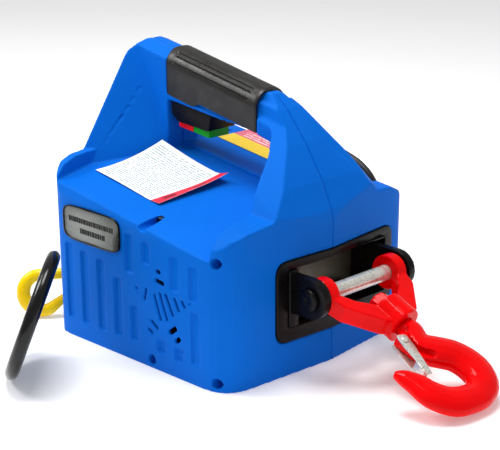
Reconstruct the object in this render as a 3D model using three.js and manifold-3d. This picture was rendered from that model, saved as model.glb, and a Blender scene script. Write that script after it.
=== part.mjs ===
// Portable electric wire rope puller: a two-shell casing with a carrying handle, a swivel hook on a
// pivoting fork at one end, and a motor-driven rope drum whose rope leaves at the other end.
// Millimetres, +Z up. Origin: centre of the casing's footprint, on the standing surface.
// +X points towards the fork and the fixed hook, -Y towards the vented side.
import * as THREE from "three";
import { ConvexGeometry } from "three/addons/geometries/ConvexGeometry.js";
import { mergeVertices } from "three/addons/utils/BufferGeometryUtils.js";
import Module from "manifold-3d";

const wasm = await Module();
wasm.setup();

// ---------------------------------------------------------------- driving dimensions
const GAP = 0.3; // clearance between neighbouring pieces
const HALF_LENGTH = 135; // casing, half its length along X
const HALF_WIDTH = 137; // casing, half its width along Y
const SEAM_Y = 4; // plane where the two shells meet; the handle is centred on it
const WALL = 4; // shell wall thickness
const TOP_TILT = -0.15; // fall of the top panel per mm towards +X
const FRONT_RISE = 0.21; // rise of the front top panel per mm towards the seam
const PANEL_Z = 176; // height of the front top panel at the seam, at X = 5
const REAR_STEP = 3; // the rear top panel stands this much higher at the seam

const HANDLE = { left: -83, right: 49, width: 44, topLeft: 295, topRight: 268, height: 46 };
const HANDLE_FALL = (HANDLE.topRight - HANDLE.topLeft) / (HANDLE.right - HANDLE.left);
const GRIP_SKIN = 3.2;

const PIN = { x: 160, y: 12, z: 87.6, radius: 8 };
const FORK_TILT = THREE.MathUtils.degToRad(25.6);
const EYE = { inner: 44, outer: 57, radius: 18 };
const EAR = { inner: 59, thickness: 9, radius: 20 };
const COLLAR = { from: 40, to: 68, radius: 19.5, bore: 10.2 };
const MOUTH = { y0: -72, y1: 110, z0: 36, z1: 120, radius: 14 };
const WINDOW = { y0: -58, y1: 93, z0: 50, z1: 112, radius: 3 };

const DRUM = { x: 22, y: 12, z: 87, core: 24, winding: 40, flange: 48, half: 32, flangeThickness: 4 };
const ROPE = { radius: 2.5, run: DRUM.z - 37.5 };
const GEAR_MODULE = 2;
const TEETH = { drum: 44, idlerSmall: 14, idlerBig: 44, pinion: 14 };
const OUTLET = { x: -HALF_LENGTH, y: DRUM.y, z: ROPE.run, halfWidth: 34, halfHeight: 11 };

const CORD = { radius: 4.5, coilX: -50, coilY: 206, coilInner: 36.5, coilOuter: 63.5, coilTop: 18.6 };

// ---------------------------------------------------------------- finishes
const finish = (color, roughness, metalness = 0) => ({ color, roughness, metalness });
const BLUE = finish(0x0a6ad2, 0.5);
const BLACK_RUBBER = finish(0x1c1815, 0.6);
const BLACK_PLASTIC = finish(0x111113, 0.35);
const RED = finish(0xe01018, 0.25);
const YELLOW = finish(0xf5b400, 0.3);
const ZINC = finish(0xc4c6c2, 0.3, 1);
const STEEL = finish(0x8a8c8e, 0.35, 1);
const CAST = finish(0x4c4f52, 0.6, 0.6);
const PAPER = finish(0xf4f4f0, 0.6);
const COPPER = finish(0xb06a3a, 0.4, 0.8);
const GREEN = finish(0x22b14c, 0.4);
const BOARD = finish(0x1d6b3a, 0.5);

// ---------------------------------------------------------------- solids
function solid(geometry) {
  const bare = geometry.clone();
  bare.deleteAttribute("normal");
  bare.deleteAttribute("uv");
  const merged = mergeVertices(bare, 1e-4);
  return new wasm.Manifold(
    new wasm.Mesh({
      numProp: 3,
      vertProperties: new Float32Array(merged.attributes.position.array),
      triVerts: new Uint32Array(merged.index.array),
    }),
  );
}

function geometryOf(body) {
  const mesh = body.getMesh();
  const geometry = new THREE.BufferGeometry();
  geometry.setAttribute("position", new THREE.BufferAttribute(mesh.vertProperties, 3));
  geometry.setIndex(new THREE.BufferAttribute(mesh.triVerts, 1));
  return geometry;
}

const joined = (first, ...rest) => geometryOf(rest.reduce((sum, g) => sum.add(solid(g)), solid(first)));
const minus = (first, ...rest) => geometryOf(rest.reduce((sum, g) => sum.subtract(solid(g)), solid(first)));
const common = (first, ...rest) => geometryOf(rest.reduce((sum, g) => sum.intersect(solid(g)), solid(first)));

const pointsToShape = (points) => new THREE.Shape(points.map(([u, v]) => new THREE.Vector2(u, v)));

function extruded(points, depth) {
  return new THREE.ExtrudeGeometry(pointsToShape(points), { depth, bevelEnabled: false });
}

const prismZ = (points, z0, z1) => extruded(points, z1 - z0).translate(0, 0, z0);
const prismY = (points, y0, y1) => extruded(points, y1 - y0).rotateX(Math.PI / 2).translate(0, y1, 0);

function prismX(points, x0, x1) {
  const turn = new THREE.Matrix4().makeBasis(
    new THREE.Vector3(0, 1, 0),
    new THREE.Vector3(0, 0, 1),
    new THREE.Vector3(1, 0, 0),
  );
  return extruded(points, x1 - x0).applyMatrix4(turn).translate(x0, 0, 0);
}

const box = (x0, x1, y0, y1, z0, z1) =>
  new THREE.BoxGeometry(x1 - x0, y1 - y0, z1 - z0).translate((x0 + x1) / 2, (y0 + y1) / 2, (z0 + z1) / 2);

// A round bar along Y, from y0 to y1.
const barY = (radius, y0, y1, x, z, sides = 24) =>
  new THREE.CylinderGeometry(radius, radius, y1 - y0, sides).translate(x, (y0 + y1) / 2, z);

// A round bar along X, from x0 to x1.
const barX = (radius, x0, x1, y, z, sides = 24) =>
  new THREE.CylinderGeometry(radius, radius, x1 - x0,
    sides).rotateZ(-Math.PI / 2).translate((x0 + x1) / 2, y, z);

// A round bar along Z, from z0 to z1.
const barZ = (radius, z0, z1, x, y, sides = 24) =>
  new THREE.CylinderGeometry(radius, radius, z1 - z0, sides).rotateX(Math.PI / 2).translate(x, y,
    (z0 + z1) / 2);

// Rotated profile about the Y axis; points are [radius, y] going up.
const latheY = (points, sides = 36) =>
  new THREE.LatheGeometry(points.map(([r, y]) => new THREE.Vector2(r, y)), sides);

// Adds dz = slope * (x - x0) to every point.
function sheared(geometry, slope, x0) {
  const shear = new THREE.Matrix4().set(1, 0, 0, 0, 0, 1, 0, 0, slope, 0, 1, -slope * x0, 0, 0, 0, 1);
  return geometry.applyMatrix4(shear);
}

// A polygon whose corners are rounded; corners are [u, v, radius].
function roundedOutline(corners, steps = 6) {
  const out = [];
  corners.forEach(([u, v, radius], i) => {
    const before = corners[(i + corners.length - 1) % corners.length];
    const after = corners[(i + 1) % corners.length];
    const here = new THREE.Vector2(u, v);
    if (!radius) {
      out.push([u, v]);
      return;
    }
    const back = new THREE.Vector2(before[0], before[1]).sub(here).normalize();
    const ahead = new THREE.Vector2(after[0], after[1]).sub(here).normalize();
    const half = Math.acos(THREE.MathUtils.clamp(back.dot(ahead), -1, 1)) / 2;
    const reach = radius / Math.tan(half);
    const start = here.clone().addScaledVector(back, reach);
    const end = here.clone().addScaledVector(ahead, reach);
    for (let k = 0; k <= steps; k += 1) {
      const t = k / steps;
      const a = start.clone().lerp(here, t);
      const b = here.clone().lerp(end, t);
      const p = a.lerp(b, t);
      out.push([p.x, p.y]);
    }
  });
  return out;
}

const roundedRectangle = (u0, u1, v0, v1, radius, steps = 6) =>
  roundedOutline([[u0, v0, radius], [u1, v0, radius], [u1, v1, radius], [u0, v1, radius]], steps);

// A ruled body between two outlines with as many points each, given in [y, z] at x0 and x1.
function ruledX(leftOutline, rightOutline, x0, x1) {
  const clockwise = THREE.ShapeUtils.isClockWise(leftOutline.map(([y, z]) => new THREE.Vector2(y, z)));
  const left = clockwise ? [...leftOutline].reverse() : leftOutline;
  const right = clockwise ? [...rightOutline].reverse() : rightOutline;
  const n = left.length;
  const positions = [];
  left.forEach(([y, z]) => positions.push(x0, y, z));
  right.forEach(([y, z]) => positions.push(x1, y, z));
  const faces = THREE.ShapeUtils.triangulateShape(left.map(([y, z]) => new THREE.Vector2(y, z)), []);
  const index = [];
  faces.forEach(([a, b, c]) => index.push(a, c, b, n + a, n + b, n + c));
  for (let i = 0; i < n; i += 1) {
    const j = (i + 1) % n;
    index.push(i, j, n + j, i, n + j, n + i);
  }
  const geometry = new THREE.BufferGeometry();
  geometry.setAttribute("position", new THREE.Float32BufferAttribute(positions, 3));
  geometry.setIndex(index);
  return geometry;
}

// A body whose elliptical sections follow a plane line. Stations are [a, b, half width, half thickness];
// a and b lie in the plane, thickness is measured along Z. Both ends are closed.
function hookBody(stations, stepCount, sides = 12) {
  const line = new THREE.CatmullRomCurve3(stations.map(([a, b]) => new THREE.Vector3(a, b, 0)), false,
    "centripetal");
  const sizes = new THREE.CatmullRomCurve3(stations.map(([, , w, t]) => new THREE.Vector3(w, t, 0)),
    false, "centripetal");
  const last = stations.length - 1;
  const positions = [];
  for (let k = 0; k <= stepCount; k += 1) {
    const t = k / stepCount;
    const centre = line.getPoint(t);
    const tangent = line.getTangent(t);
    const size = sizes.getPoint(t);
    const side = new THREE.Vector3(-tangent.y, tangent.x, 0);
    for (let s = 0; s < sides; s += 1) {
      const angle = (2 * Math.PI * s) / sides;
      const p = centre.clone().addScaledVector(side, Math.cos(angle) * size.x);
      positions.push(p.x, p.y, Math.sin(angle) * size.y);
    }
  }
  const index = [];
  for (let k = 0; k < stepCount; k += 1) {
    for (let s = 0; s < sides; s += 1) {
      const a = k * sides + s;
      const b = k * sides + ((s + 1) % sides);
      index.push(a, b, b + sides, a, b + sides, a + sides);
    }
  }
  const addCap = (ring, station, flip) => {
    const hub = positions.length / 3;
    positions.push(station[0], station[1], 0);
    for (let s = 0; s < sides; s += 1) {
      const a = ring * sides + s;
      const b = ring * sides + ((s + 1) % sides);
      index.push(...(flip ? [hub, b, a] : [hub, a, b]));
    }
  };
  addCap(0, stations[0], true);
  addCap(stepCount, stations[last], false);
  const geometry = new THREE.BufferGeometry();
  geometry.setAttribute("position", new THREE.Float32BufferAttribute(positions, 3));
  geometry.setIndex(index);
  return geometry;
}

// A round tube along a smooth line through the given points.
function tube(points, radius, sides, steps) {
  const section = [];
  for (let s = 0; s < sides; s += 1) {
    const angle = (2 * Math.PI * s) / sides;
    section.push([radius * Math.cos(angle), radius * Math.sin(angle)]);
  }
  const line = new THREE.CatmullRomCurve3(points.map((p) => new THREE.Vector3(...p)), false, "centripetal");
  return new THREE.ExtrudeGeometry(pointsToShape(section), { steps, extrudePath: line, bevelEnabled: false });
}

// A spur gear about Y with trapezoidal teeth.
function spurGear(teeth, width, bore, bossRadius = 0) {
  const pitch = (GEAR_MODULE * teeth) / 2;
  const outline = [];
  const step = (2 * Math.PI) / teeth;
  const root = pitch - 1.15 * GEAR_MODULE;
  const tip = pitch + 0.8 * GEAR_MODULE;
  for (let i = 0; i < teeth; i += 1) {
    [[-0.36, root], [-0.13, tip], [0.13, tip], [0.36, root]].forEach(([share, radius]) => {
      const angle = (i + share) * step;
      outline.push([radius * Math.cos(angle), radius * Math.sin(angle)]);
    });
  }
  let gear = prismY(outline, -width / 2, width / 2);
  if (bossRadius) gear = joined(gear, barY(bossRadius, -width / 2 - 4, width / 2 + 4, 0, 0));
  return minus(gear, barY(bore, -width, width, 0, 0));
}

const root = new THREE.Group();
root.name = "wire_rope_puller";

function add(name, geometry, look, parent = root) {
  const bare = geometry.clone();
  bare.computeVertexNormals();
  const mesh = new THREE.Mesh(bare, new THREE.MeshStandardMaterial(look));
  mesh.name = name;
  parent.add(mesh);
  return mesh;
}

// ---------------------------------------------------------------- casing
// Cross-sections of the casing with its gable-shaped handle legs, at both ends, from the vented side
// over the top to the rear. The handle and the top fall towards +X.
const LEFT_SECTION = [
  [-137, 0], [-137, 158], [-134, 172], [-124, 184], [-110, 190], [-92, 192], [-31, 284], [-22, 295],
  [-6, 301],
  [14, 301], [30, 295], [39, 284], [100, 192], [112, 190], [124, 184], [134, 172], [137, 158], [137, 0],
];
const RIGHT_SECTION = [
  [-137, 0], [-137, 126], [-134, 140], [-124, 150], [-108, 156], [-73, 161], [-9, 222], [-7, 238], [-1, 249],
  [9, 249], [15, 238], [17, 222], [81, 161], [108, 158], [124, 150], [134, 140], [137, 126], [137, 0],
];
// Outline seen from the side, with the long slope of the hook-side leg.
const SIDE_OUTLINE = [
  [-135, 0], [135, 0], [135, 148], [132.5, 160], [120, 187], [98, 220], [72, 251], [58, 263], [44, 273],
  [44, 330], [-116, 330], [-116, 303], [-128, 299], [-135, 287],
];
// Underside of the handle and inner edge of the hook-side leg.
const OPENING_OUTLINE = [
  [HANDLE.left, 100], [104, 100], [104, 152], [96, 176], [90, 193], [82, 210], [70, 219.5],
  [HANDLE.right, 225],
  [HANDLE.left, 241],
];

// Footprint with a shallow ridge along the seam on the hook side; inset shrinks it evenly.
function footprint(inset, z0, z1, shift = 0) {
  const x0 = -HALF_LENGTH + inset;
  const y0 = -HALF_WIDTH + inset;
  const y1 = HALF_WIDTH - inset;
  const outline = roundedOutline([
    [x0 + shift, y0, 20 - inset],
    [126.3 - inset + shift, y0, 34 - inset],
    [HALF_LENGTH - inset + shift, SEAM_Y, 0],
    [119.5 - inset + shift, y1, 24 - inset],
    [x0 + shift, y1, 20 - inset],
  ]);
  return prismZ(outline, z0, z1);
}

// Everything above the top panels, lowered by "drop".
function abovePanels(drop) {
  const rearZ = PANEL_Z + REAR_STEP;
  const rise = (y) => PANEL_Z + FRONT_RISE * (y - SEAM_Y);
  const outline = [
    [-160, rise(-160) - drop], [SEAM_Y - 0.2, rise(SEAM_Y) - drop], [SEAM_Y - 0.2, rearZ - drop],
    [94, rearZ - drop],
    [160, 140 - drop], [160, 420], [-160, 420],
  ];
  return sheared(prismX(outline, -160, 160), TOP_TILT, 5);
}

// Inner face of the left leg: a broad slanting face on each side, with a crease across it.
const LEG_FACE = { x: -135, offset: 35, z: 284, facing: [0.78, 0.52, 0.35] };
const LEG_CREASE = { from: [-122, 26, 248], to: [-126, 76, 193], width: 2.6, depth: 2.4 };
const LEG_RIM = { x: -126, z: 192, fall: -0.11 };
const HANDLE_SIDE = 21.7;

function beyondLegFace(sign) {
  const facing = new THREE.Vector3(LEG_FACE.facing[0], sign * LEG_FACE.facing[1],
    LEG_FACE.facing[2]).normalize();
  const turn = new THREE.Quaternion().setFromUnitVectors(new THREE.Vector3(0, 0, 1), facing);
  const block = new THREE.BoxGeometry(500, 500, 300).translate(0, 0, 150).applyQuaternion(turn);
  return block.translate(LEG_FACE.x, SEAM_Y + sign * LEG_FACE.offset, LEG_FACE.z);
}

function outsideHandle(sign, x0, x1, z0, z1) {
  const near = SEAM_Y + sign * HANDLE_SIDE;
  const far = SEAM_Y + sign * 160;
  return box(x0, x1, Math.min(near, far), Math.max(near, far), z0, z1);
}

function legCuts(above) {
  return [-1, 1].flatMap((sign) => {
    const overRim = sheared(outsideHandle(sign, -141, HANDLE.left + 1, LEG_RIM.z, 320), LEG_RIM.fall, -140);
    const insideRim = common(outsideHandle(sign, LEG_RIM.x, HANDLE.left + 1, 100, 320), above);
    const face = beyondLegFace(sign);
    return [common(overRim, face), common(insideRim, face)];
  });
}

function legCreases() {
  return [-1, 1].map((sign) => {
    const end = ([x, offset, z]) => new THREE.Vector3(x, SEAM_Y + sign * offset, z);
    const [from, to] = [end(LEG_CREASE.from), end(LEG_CREASE.to)];
    const along = to.clone().sub(from).normalize();
    const facing = new THREE.Vector3(LEG_FACE.facing[0], sign * LEG_FACE.facing[1],
      LEG_FACE.facing[2]).normalize();
    const onFace = (point) => {
      const start = new THREE.Vector3(LEG_FACE.x, SEAM_Y + sign * LEG_FACE.offset, LEG_FACE.z);
      return point.clone().addScaledVector(facing, start.sub(point).dot(facing));
    };
    const middle = onFace(from).add(onFace(to)).multiplyScalar(0.5);
    const across = new THREE.Vector3().crossVectors(facing, along).normalize();
    const bar = new THREE.BoxGeometry(from.distanceTo(to), LEG_CREASE.width, 2 * LEG_CREASE.depth);
    bar.applyMatrix4(new THREE.Matrix4().makeBasis(along, across,
      new THREE.Vector3().crossVectors(along, across)));
    return bar.translate(middle.x, middle.y, middle.z);
  });
}

// The handle's upright sides run on into the hook-side leg before its slanting face begins.
function shoulderCuts() {
  const outline = [[HANDLE.right + GAP, 196], [89, 196], [83.5, 213], [72.5, 230.6], [62, 241],
    [HANDLE.right + GAP, 249]];
  return [
    prismY(outline, -160, SEAM_Y - HANDLE_SIDE),
    prismY(outline, SEAM_Y + HANDLE_SIDE, 160),
  ];
}

// Rounded block that holds the grip, with the fall of the handle; skin makes it larger or smaller.
function handleBlock(skin, below, x0, x1) {
  const half = HANDLE.width / 2 + skin;
  const top = HANDLE.topLeft + skin;
  const bottom = HANDLE.topLeft - HANDLE.height + below;
  const outline = roundedOutline([
    [SEAM_Y - half, bottom, 0], [SEAM_Y + half, bottom, 0], [SEAM_Y + half, top, 21 + skin],
    [SEAM_Y - half, top, 21 + skin],
  ]);
  return sheared(prismX(outline, x0, x1), HANDLE_FALL, HANDLE.left);
}

const SCREWS = [{ x: 19.5, z: 9 }, { x: 110, z: 9 }, { x: 9, z: 146 }, { x: 110, z: 131 }];
const SCREW_SEAT_Y = -108;
const BOSS_RADIUS = 7.5;

const GROOVE_DEPTH = 2.6;

function grooves() {
  const groove = (x, z0, z1) => prismY(roundedRectangle(x - 6, x + 6, z0, z1, 4, 3), -HALF_WIDTH - 1,
    -HALF_WIDTH + GROOVE_DEPTH);
  return [
    groove(-108, 20, 104), groove(-83, 19, 100), groove(-57, 19, 97), groove(-31, 20, 84), groove(-6, 22, 60),
    groove(-12, 93, 134), groove(14, 108, 131), groove(55, 90, 126), groove(82, 86, 122), groove(84, 22, 76),
    groove(34, 20, 34), groove(60, 18, 32),
  ];
}

// Star-shaped group of through slits in the vented side, in front of the fan: both ends (x, z) and width.
const STAR_SLITS = [
  [28.5, 105.5, 35, 104, 4.4], [27, 95.5, 40, 93.5, 5], [-9.5, 83, -8.5, 81, 2.4], [-3, 83.5, 1.5, 76, 2.4],
  [13.5, 84, 10, 69, 2.8], [25, 81, 34.5, 54, 3], [33, 84, 44, 56, 3], [41.5, 85, 53, 63, 3],
  [54, 84.5, 61.5, 70, 3],
  [64.5, 84, 71, 76, 3], [75.5, 84, 77.5, 82, 2.8], [18.5, 52, 30, 44, 3], [14.5, 41.5, 22.5, 37, 2.8],
  [10.5, 31, 13, 30, 2], [46, 44.5, 57, 53, 5.5], [55, 37.5, 62, 43, 5], [64.7, 33.7, 66.3, 29, 2.2],
];

function starSlits() {
  return STAR_SLITS.map(([x0, z0, x1, z1, width]) => {
    const bar = new THREE.BoxGeometry(Math.hypot(x1 - x0, z1 - z0), 16, width);
    return bar.rotateY(-Math.atan2(z1 - z0, x1 - x0)).translate((x0 + x1) / 2, -HALF_WIDTH, (z0 + z1) / 2);
  });
}

// Crest of the hook-side leg on the rear, which stands further out than the vented side's, and its foot.
const REAR_CREST = [
  [60.5, 19.6, 260], [69.5, 24.7, 252.5], [78, 27.5, 243.5], [84, 28.8, 236.5], [89.2, 33.2, 230],
  [96.2, 40.6, 221.5],
  [103, 48.3, 212], [110, 55.9, 201.5], [118.8, 61.6, 188.5], [123.2, 66, 179], [130.2, 74, 164.5],
];
const REAR_FOOT = [
  [55, 92, 168], [112, 98, 159], [130, 84, 150], [50, 24, 225], [55, 10, 165], [128, 10, 150], [60, 10, 252],
  [97, 10, 218], [128, 10, 168],
];

function buildRearCrest() {
  const points = [...REAR_CREST, ...REAR_FOOT].map((point) => new THREE.Vector3(...point));
  return minus(new ConvexGeometry(points), prismY(OPENING_OUTLINE, -160, 160));
}

function buildCavity() {
  const inset = (section) => section.map(([y, z]) => [(y * (HALF_WIDTH - WALL)) / HALF_WIDTH,
    z && z - 1.5 * WALL]);
  const below = common(footprint(WALL, WALL, 200),
    ruledX(inset(LEFT_SECTION), inset(RIGHT_SECTION), -140, 140));
  return minus(below, abovePanels(7));
}

function buildCasing() {
  let casing = common(
    ruledX(LEFT_SECTION, RIGHT_SECTION, -140, 140),
    footprint(0, 0, 330),
    prismY([...SIDE_OUTLINE], -150, 150),
  );
  const above = abovePanels(0);
  const bay = common(prismY(OPENING_OUTLINE, -160, 160), above);
  casing = joined(casing, common(buildRearCrest(), footprint(0, 0, 330)));
  casing = minus(casing, bay, ...legCuts(above), ...legCreases(), ...shoulderCuts());

  // Space for the grip: the handle keeps a narrower core there, on a strip as wide as the handle.
  const underGrip = HANDLE.topLeft - HANDLE.height;
  const strip = box(HANDLE.left - 5, HANDLE.right + 5, SEAM_Y - HANDLE_SIDE, SEAM_Y + HANDLE_SIDE, 190,
    underGrip);
  const gripSpace = minus(
    sheared(box(HANDLE.left - GAP, HANDLE.right + GAP, -90, 98, 200, 360), HANDLE_FALL, HANDLE.left),
    handleBlock(-GRIP_SKIN - GAP, -20, HANDLE.left - 5, HANDLE.right + 5),
    sheared(strip, HANDLE_FALL, HANDLE.left),
  );
  casing = minus(casing, gripSpace);
  casing = joined(casing, placeOnGland(barY(12.5, -20, GLAND.boss, 0, 0, 20)));

  // Hollow inside, with a boss through it for each screw.
  const bosses = SCREWS.map(({ x, z }) => barY(BOSS_RADIUS, -HALF_WIDTH, HALF_WIDTH, x, z, 16));
  casing = minus(casing, minus(buildCavity(), ...bosses));
  const bores = SCREWS.flatMap(({ x, z }) => [
    barY(5.4, -HALF_WIDTH - 10, SCREW_SEAT_Y, x, z, 16),
    barY(2.5, SCREW_SEAT_Y - 1, 38, x, z, 12),
  ]);
  casing = minus(casing, ...bores, ...grooves(), ...starSlits());

  // Mouth for the fork on the hook side, and rope slot on the other side.
  const mouthSeat = common(
    prismX(roundedRectangle(MOUTH.y0 - GAP, MOUTH.y1 + GAP, MOUTH.z0 - GAP, MOUTH.z1 + GAP, MOUTH.radius),
      60, 200),
    minus(footprint(-30, -5, 300), footprint(0, -6, 301, -3.3)),
  );
  const window = prismX(roundedRectangle(WINDOW.y0, WINDOW.y1, WINDOW.z0, WINDOW.z1, WINDOW.radius), 60, 200);
  const ropeSlot = box(-150, -120, OUTLET.y - OUTLET.halfWidth, OUTLET.y + OUTLET.halfWidth,
    OUTLET.z - OUTLET.halfHeight, OUTLET.z + OUTLET.halfHeight);
  const glandHole = new THREE.CylinderGeometry(6.2, 6.2, 60, 16);
  placeOnGland(glandHole);
  return minus(casing, mouthSeat, window, ropeSlot, glandHole);
}

// The mains lead leaves the rear of the top through a gland that leans outwards.
const GLAND = { x: -64, y: 117, z: 178, boss: 12, end: 48,
  direction: new THREE.Vector3(0.72, 0.64, 0.17).normalize() };
function placeOnGland(geometry) {
  const turn = new THREE.Quaternion().setFromUnitVectors(new THREE.Vector3(0, 1, 0), GLAND.direction);
  return geometry.applyQuaternion(turn).translate(GLAND.x, GLAND.y, GLAND.z);
}

const casing = buildCasing();
add("front_shell", common(casing, box(-300, 300, -300, SEAM_Y - GAP / 2, -10, 400)), BLUE);
add("rear_shell", common(casing, box(-300, 300, SEAM_Y + GAP / 2, 300, -10, 400)), BLUE);

SCREWS.forEach(({ x, z }, i) => {
  const head = barY(4.6, SCREW_SEAT_Y - 5 - GAP, SCREW_SEAT_Y - GAP, x, z, 12);
  const shank = barY(2.1, SCREW_SEAT_Y - 1, 36, x, z, 8);
  const socket = barY(2.2, SCREW_SEAT_Y - 8, SCREW_SEAT_Y - 3, x, z, 6);
  add("shell_screw_" + (i + 1), minus(joined(head, shank), socket), STEEL);
});

// ---------------------------------------------------------------- handle
function buildGrip() {
  const outer = handleBlock(0.6, 5, HANDLE.left, HANDLE.right);
  const inner = handleBlock(-GRIP_SKIN, -30, HANDLE.left - 5, HANDLE.right + 5);
  return minus(outer, inner);
}
add("handle_grip", buildGrip(), BLACK_RUBBER);

const SWITCH = { x0: -79, x1: -19, half: 19, top: 233, depth: 16 };
const UNDER_TILT = (225 - 241) / (HANDLE.right - HANDLE.left);
const underHandle = (geometry) => sheared(geometry, UNDER_TILT, HANDLE.left);
function buildSwitchHousing() {
  const y = SEAM_Y;
  const shape = roundedOutline([
    [SWITCH.x0, 240.5, 0], [SWITCH.x0, 226, 3], [SWITCH.x0 + 10, 220, 3], [SWITCH.x1 - 4, 222, 3],
    [SWITCH.x1, 240.5, 0],
  ], 3);
  const block = prismY(shape, y - SWITCH.half, y + SWITCH.half);
  const well = box(SWITCH.x0 + 5, SWITCH.x1 - 7, y - SWITCH.half + 4, y + SWITCH.half - 4, 200, 231);
  return underHandle(minus(block, well));
}
add("switch_housing", buildSwitchHousing(), BLACK_PLASTIC);
const rocker = (x0, x1) =>
  underHandle(box(x0, x1, SEAM_Y - SWITCH.half + 4.5, SEAM_Y + SWITCH.half - 4.5, 213, 228));
add("reverse_button", rocker(SWITCH.x0 + 5.6, -51.3), RED);
add("forward_button", rocker(-50.7, SWITCH.x1 - 7.6), GREEN);

// ---------------------------------------------------------------- plates and labels on the casing
add("nameplate", prismY(roundedRectangle(-113, -24, 110, 146, 12), -HALF_WIDTH - 1.2, -HALF_WIDTH - GAP),
  ZINC);

function onFrontPanel(x0, x1, y0, y1, lift) {
  const rise = (y) => PANEL_Z + FRONT_RISE * (y - SEAM_Y) + lift;
  const outline = [[y0, rise(y0)], [y1, rise(y1)], [y1, rise(y1) + 0.6], [y0, rise(y0) + 0.6]];
  return sheared(prismX(outline, x0, x1), TOP_TILT, 5);
}
add("instruction_label", onFrontPanel(-82, 12, -98, -21, GAP), PAPER);
function onRearPanel(x0, x1, y0, y1) {
  const z = PANEL_Z + REAR_STEP + GAP;
  return sheared(box(x0, x1, y0, y1, z, z + 0.6), TOP_TILT, 5);
}
add("warning_sticker", onRearPanel(-70, 44, 42, 84), YELLOW);

// ---------------------------------------------------------------- hook end: bezel, anchor and pin
function buildBezel() {
  const plate = minus(footprint(0, 0, 300, 1.2), footprint(0, -1, 301, -3));
  const outside = prismX(roundedRectangle(MOUTH.y0, MOUTH.y1, MOUTH.z0, MOUTH.z1, MOUTH.radius), 90, 200);
  const inside = prismX(roundedRectangle(WINDOW.y0 + 1, WINDOW.y1 - 1, WINDOW.z0 + 1, WINDOW.z1 - 1,
    WINDOW.radius), 80, 210);
  return minus(common(plate, outside), inside);
}
add("mouth_bezel", buildBezel(), BLACK_PLASTIC);

const ANCHOR_X = 92;
add("anchor_plate", box(ANCHOR_X, ANCHOR_X + 8, PIN.y - 76, PIN.y + 76, 40, 114), CAST);

function buildEar(sign) {
  const y0 = PIN.y + sign * EAR.inner;
  const y1 = PIN.y + sign * (EAR.inner + EAR.thickness);
  const outline = [[ANCHOR_X + 8 + GAP, PIN.z - 24], [PIN.x - 14, PIN.z - EAR.radius]];
  for (let k = 0; k <= 10; k += 1) {
    const angle = -Math.PI / 2 + (Math.PI * k) / 10;
    outline.push([PIN.x + EAR.radius * Math.cos(angle), PIN.z + EAR.radius * Math.sin(angle)]);
  }
  outline.push([PIN.x - 14, PIN.z + EAR.radius], [ANCHOR_X + 8 + GAP, PIN.z + 21]);
  const plate = prismY(outline, Math.min(y0, y1), Math.max(y0, y1));
  return minus(plate, barY(PIN.radius + 0.1, -200, 200, PIN.x, PIN.z));
}
add("anchor_ear_front", buildEar(-1), BLACK_PLASTIC);
add("anchor_ear_rear", buildEar(1), BLACK_PLASTIC);

function buildPin() {
  const reach = EAR.inner + EAR.thickness;
  const shaft = barY(PIN.radius, PIN.y - reach - 1, PIN.y + reach + 7, PIN.x, PIN.z);
  const head = barY(11, PIN.y - reach - 5, PIN.y - reach - GAP, PIN.x, PIN.z);
  return joined(shaft, head);
}
add("hook_pin", buildPin(), ZINC);
function buildPinNut() {
  const reach = EAR.inner + EAR.thickness + GAP;
  const nut = barY(13, PIN.y + reach, PIN.y + reach + 8, PIN.x, PIN.z, 6);
  return minus(nut, barY(PIN.radius + 0.1, 0, 200, PIN.x, PIN.z));
}
add("pin_nut", buildPinNut(), BLACK_PLASTIC);

// ---------------------------------------------------------------- fork and fixed hook
// Inside this group X runs along the hook's shank, Y along the pin and Z across the hook.
const forkGroup = new THREE.Group();
forkGroup.position.set(PIN.x, PIN.y, PIN.z);
forkGroup.rotation.y = FORK_TILT;
root.add(forkGroup);

function buildFork() {
  const arm = (sign) => {
    const outline = [
      [-4, 57], [9, 57], [30, 51], [60, 24], [66, 12], [66, 4], [46, 6], [26, 33], [12, 44], [-4, 44],
    ].map(([a, b]) => [a, sign * b]);
    return prismZ(sign > 0 ? outline.reverse() : outline, -9.5, 9.5);
  };
  const eye = (y0, y1) => barY(EYE.radius, y0, y1, 0, 0, 28);
  const collar = barX(COLLAR.radius, COLLAR.from, COLLAR.to, 0, 0, 24);
  const fork = joined(arm(1), arm(-1), eye(EYE.inner, EYE.outer), eye(-EYE.outer, -EYE.inner), collar);
  return minus(fork, barY(PIN.radius + 0.1, -80, 80, 0, 0, 28), barX(COLLAR.bore, 20, 100, 0, 0, 24));
}
add("hook_fork", buildFork(), RED, forkGroup);

const FIXED_HOOK = [
  [71.5, 0, 12, 12], [80, -2, 14, 13], [95, -11, 17.5, 13], [108, 3, 18.5, 13], [121, 18, 19.5, 12.5],
  [141, 24, 20.5, 12], [160, 17, 17.5, 11.5], [169, 0, 15.5, 10.8], [168.5, -18, 16, 10.8],
  [163, -35, 17.5, 10.5],
  [149, -47, 17, 10], [132, -51.5, 14, 9], [119, -58, 9, 7], [112, -63, 3.5, 3.5],
];
function buildFixedHook() {
  const shank = barX(COLLAR.bore - GAP, 27, 74, 0, 0, 24);
  const lug = prismZ(roundedOutline([[78, -4, 2], [78, -27, 4], [94, -27, 4], [100, -6, 2]], 3), -4.6, 4.6);
  const rivetHole = barZ(2.6, -20, 20, LATCH_PIVOT.a, LATCH_PIVOT.b, 12);
  const body = joined(hookBody(FIXED_HOOK, 44, 14), shank, lug);
  const slots = [4.8, -10].map((z) => box(72, 117, -40, -8, z, z + 5.2));
  return minus(body, rivetHole, ...slots);
}
const LATCH_PIVOT = { a: 86, b: -22.5 };
add("fixed_hook", buildFixedHook(), RED, forkGroup);
add("swivel_nut", minus(barX(12.5, 30, COLLAR.from - GAP, 0, 0, 6), barX(COLLAR.bore, 10, 60, 0, 0, 24)),
  RED, forkGroup);

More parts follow.
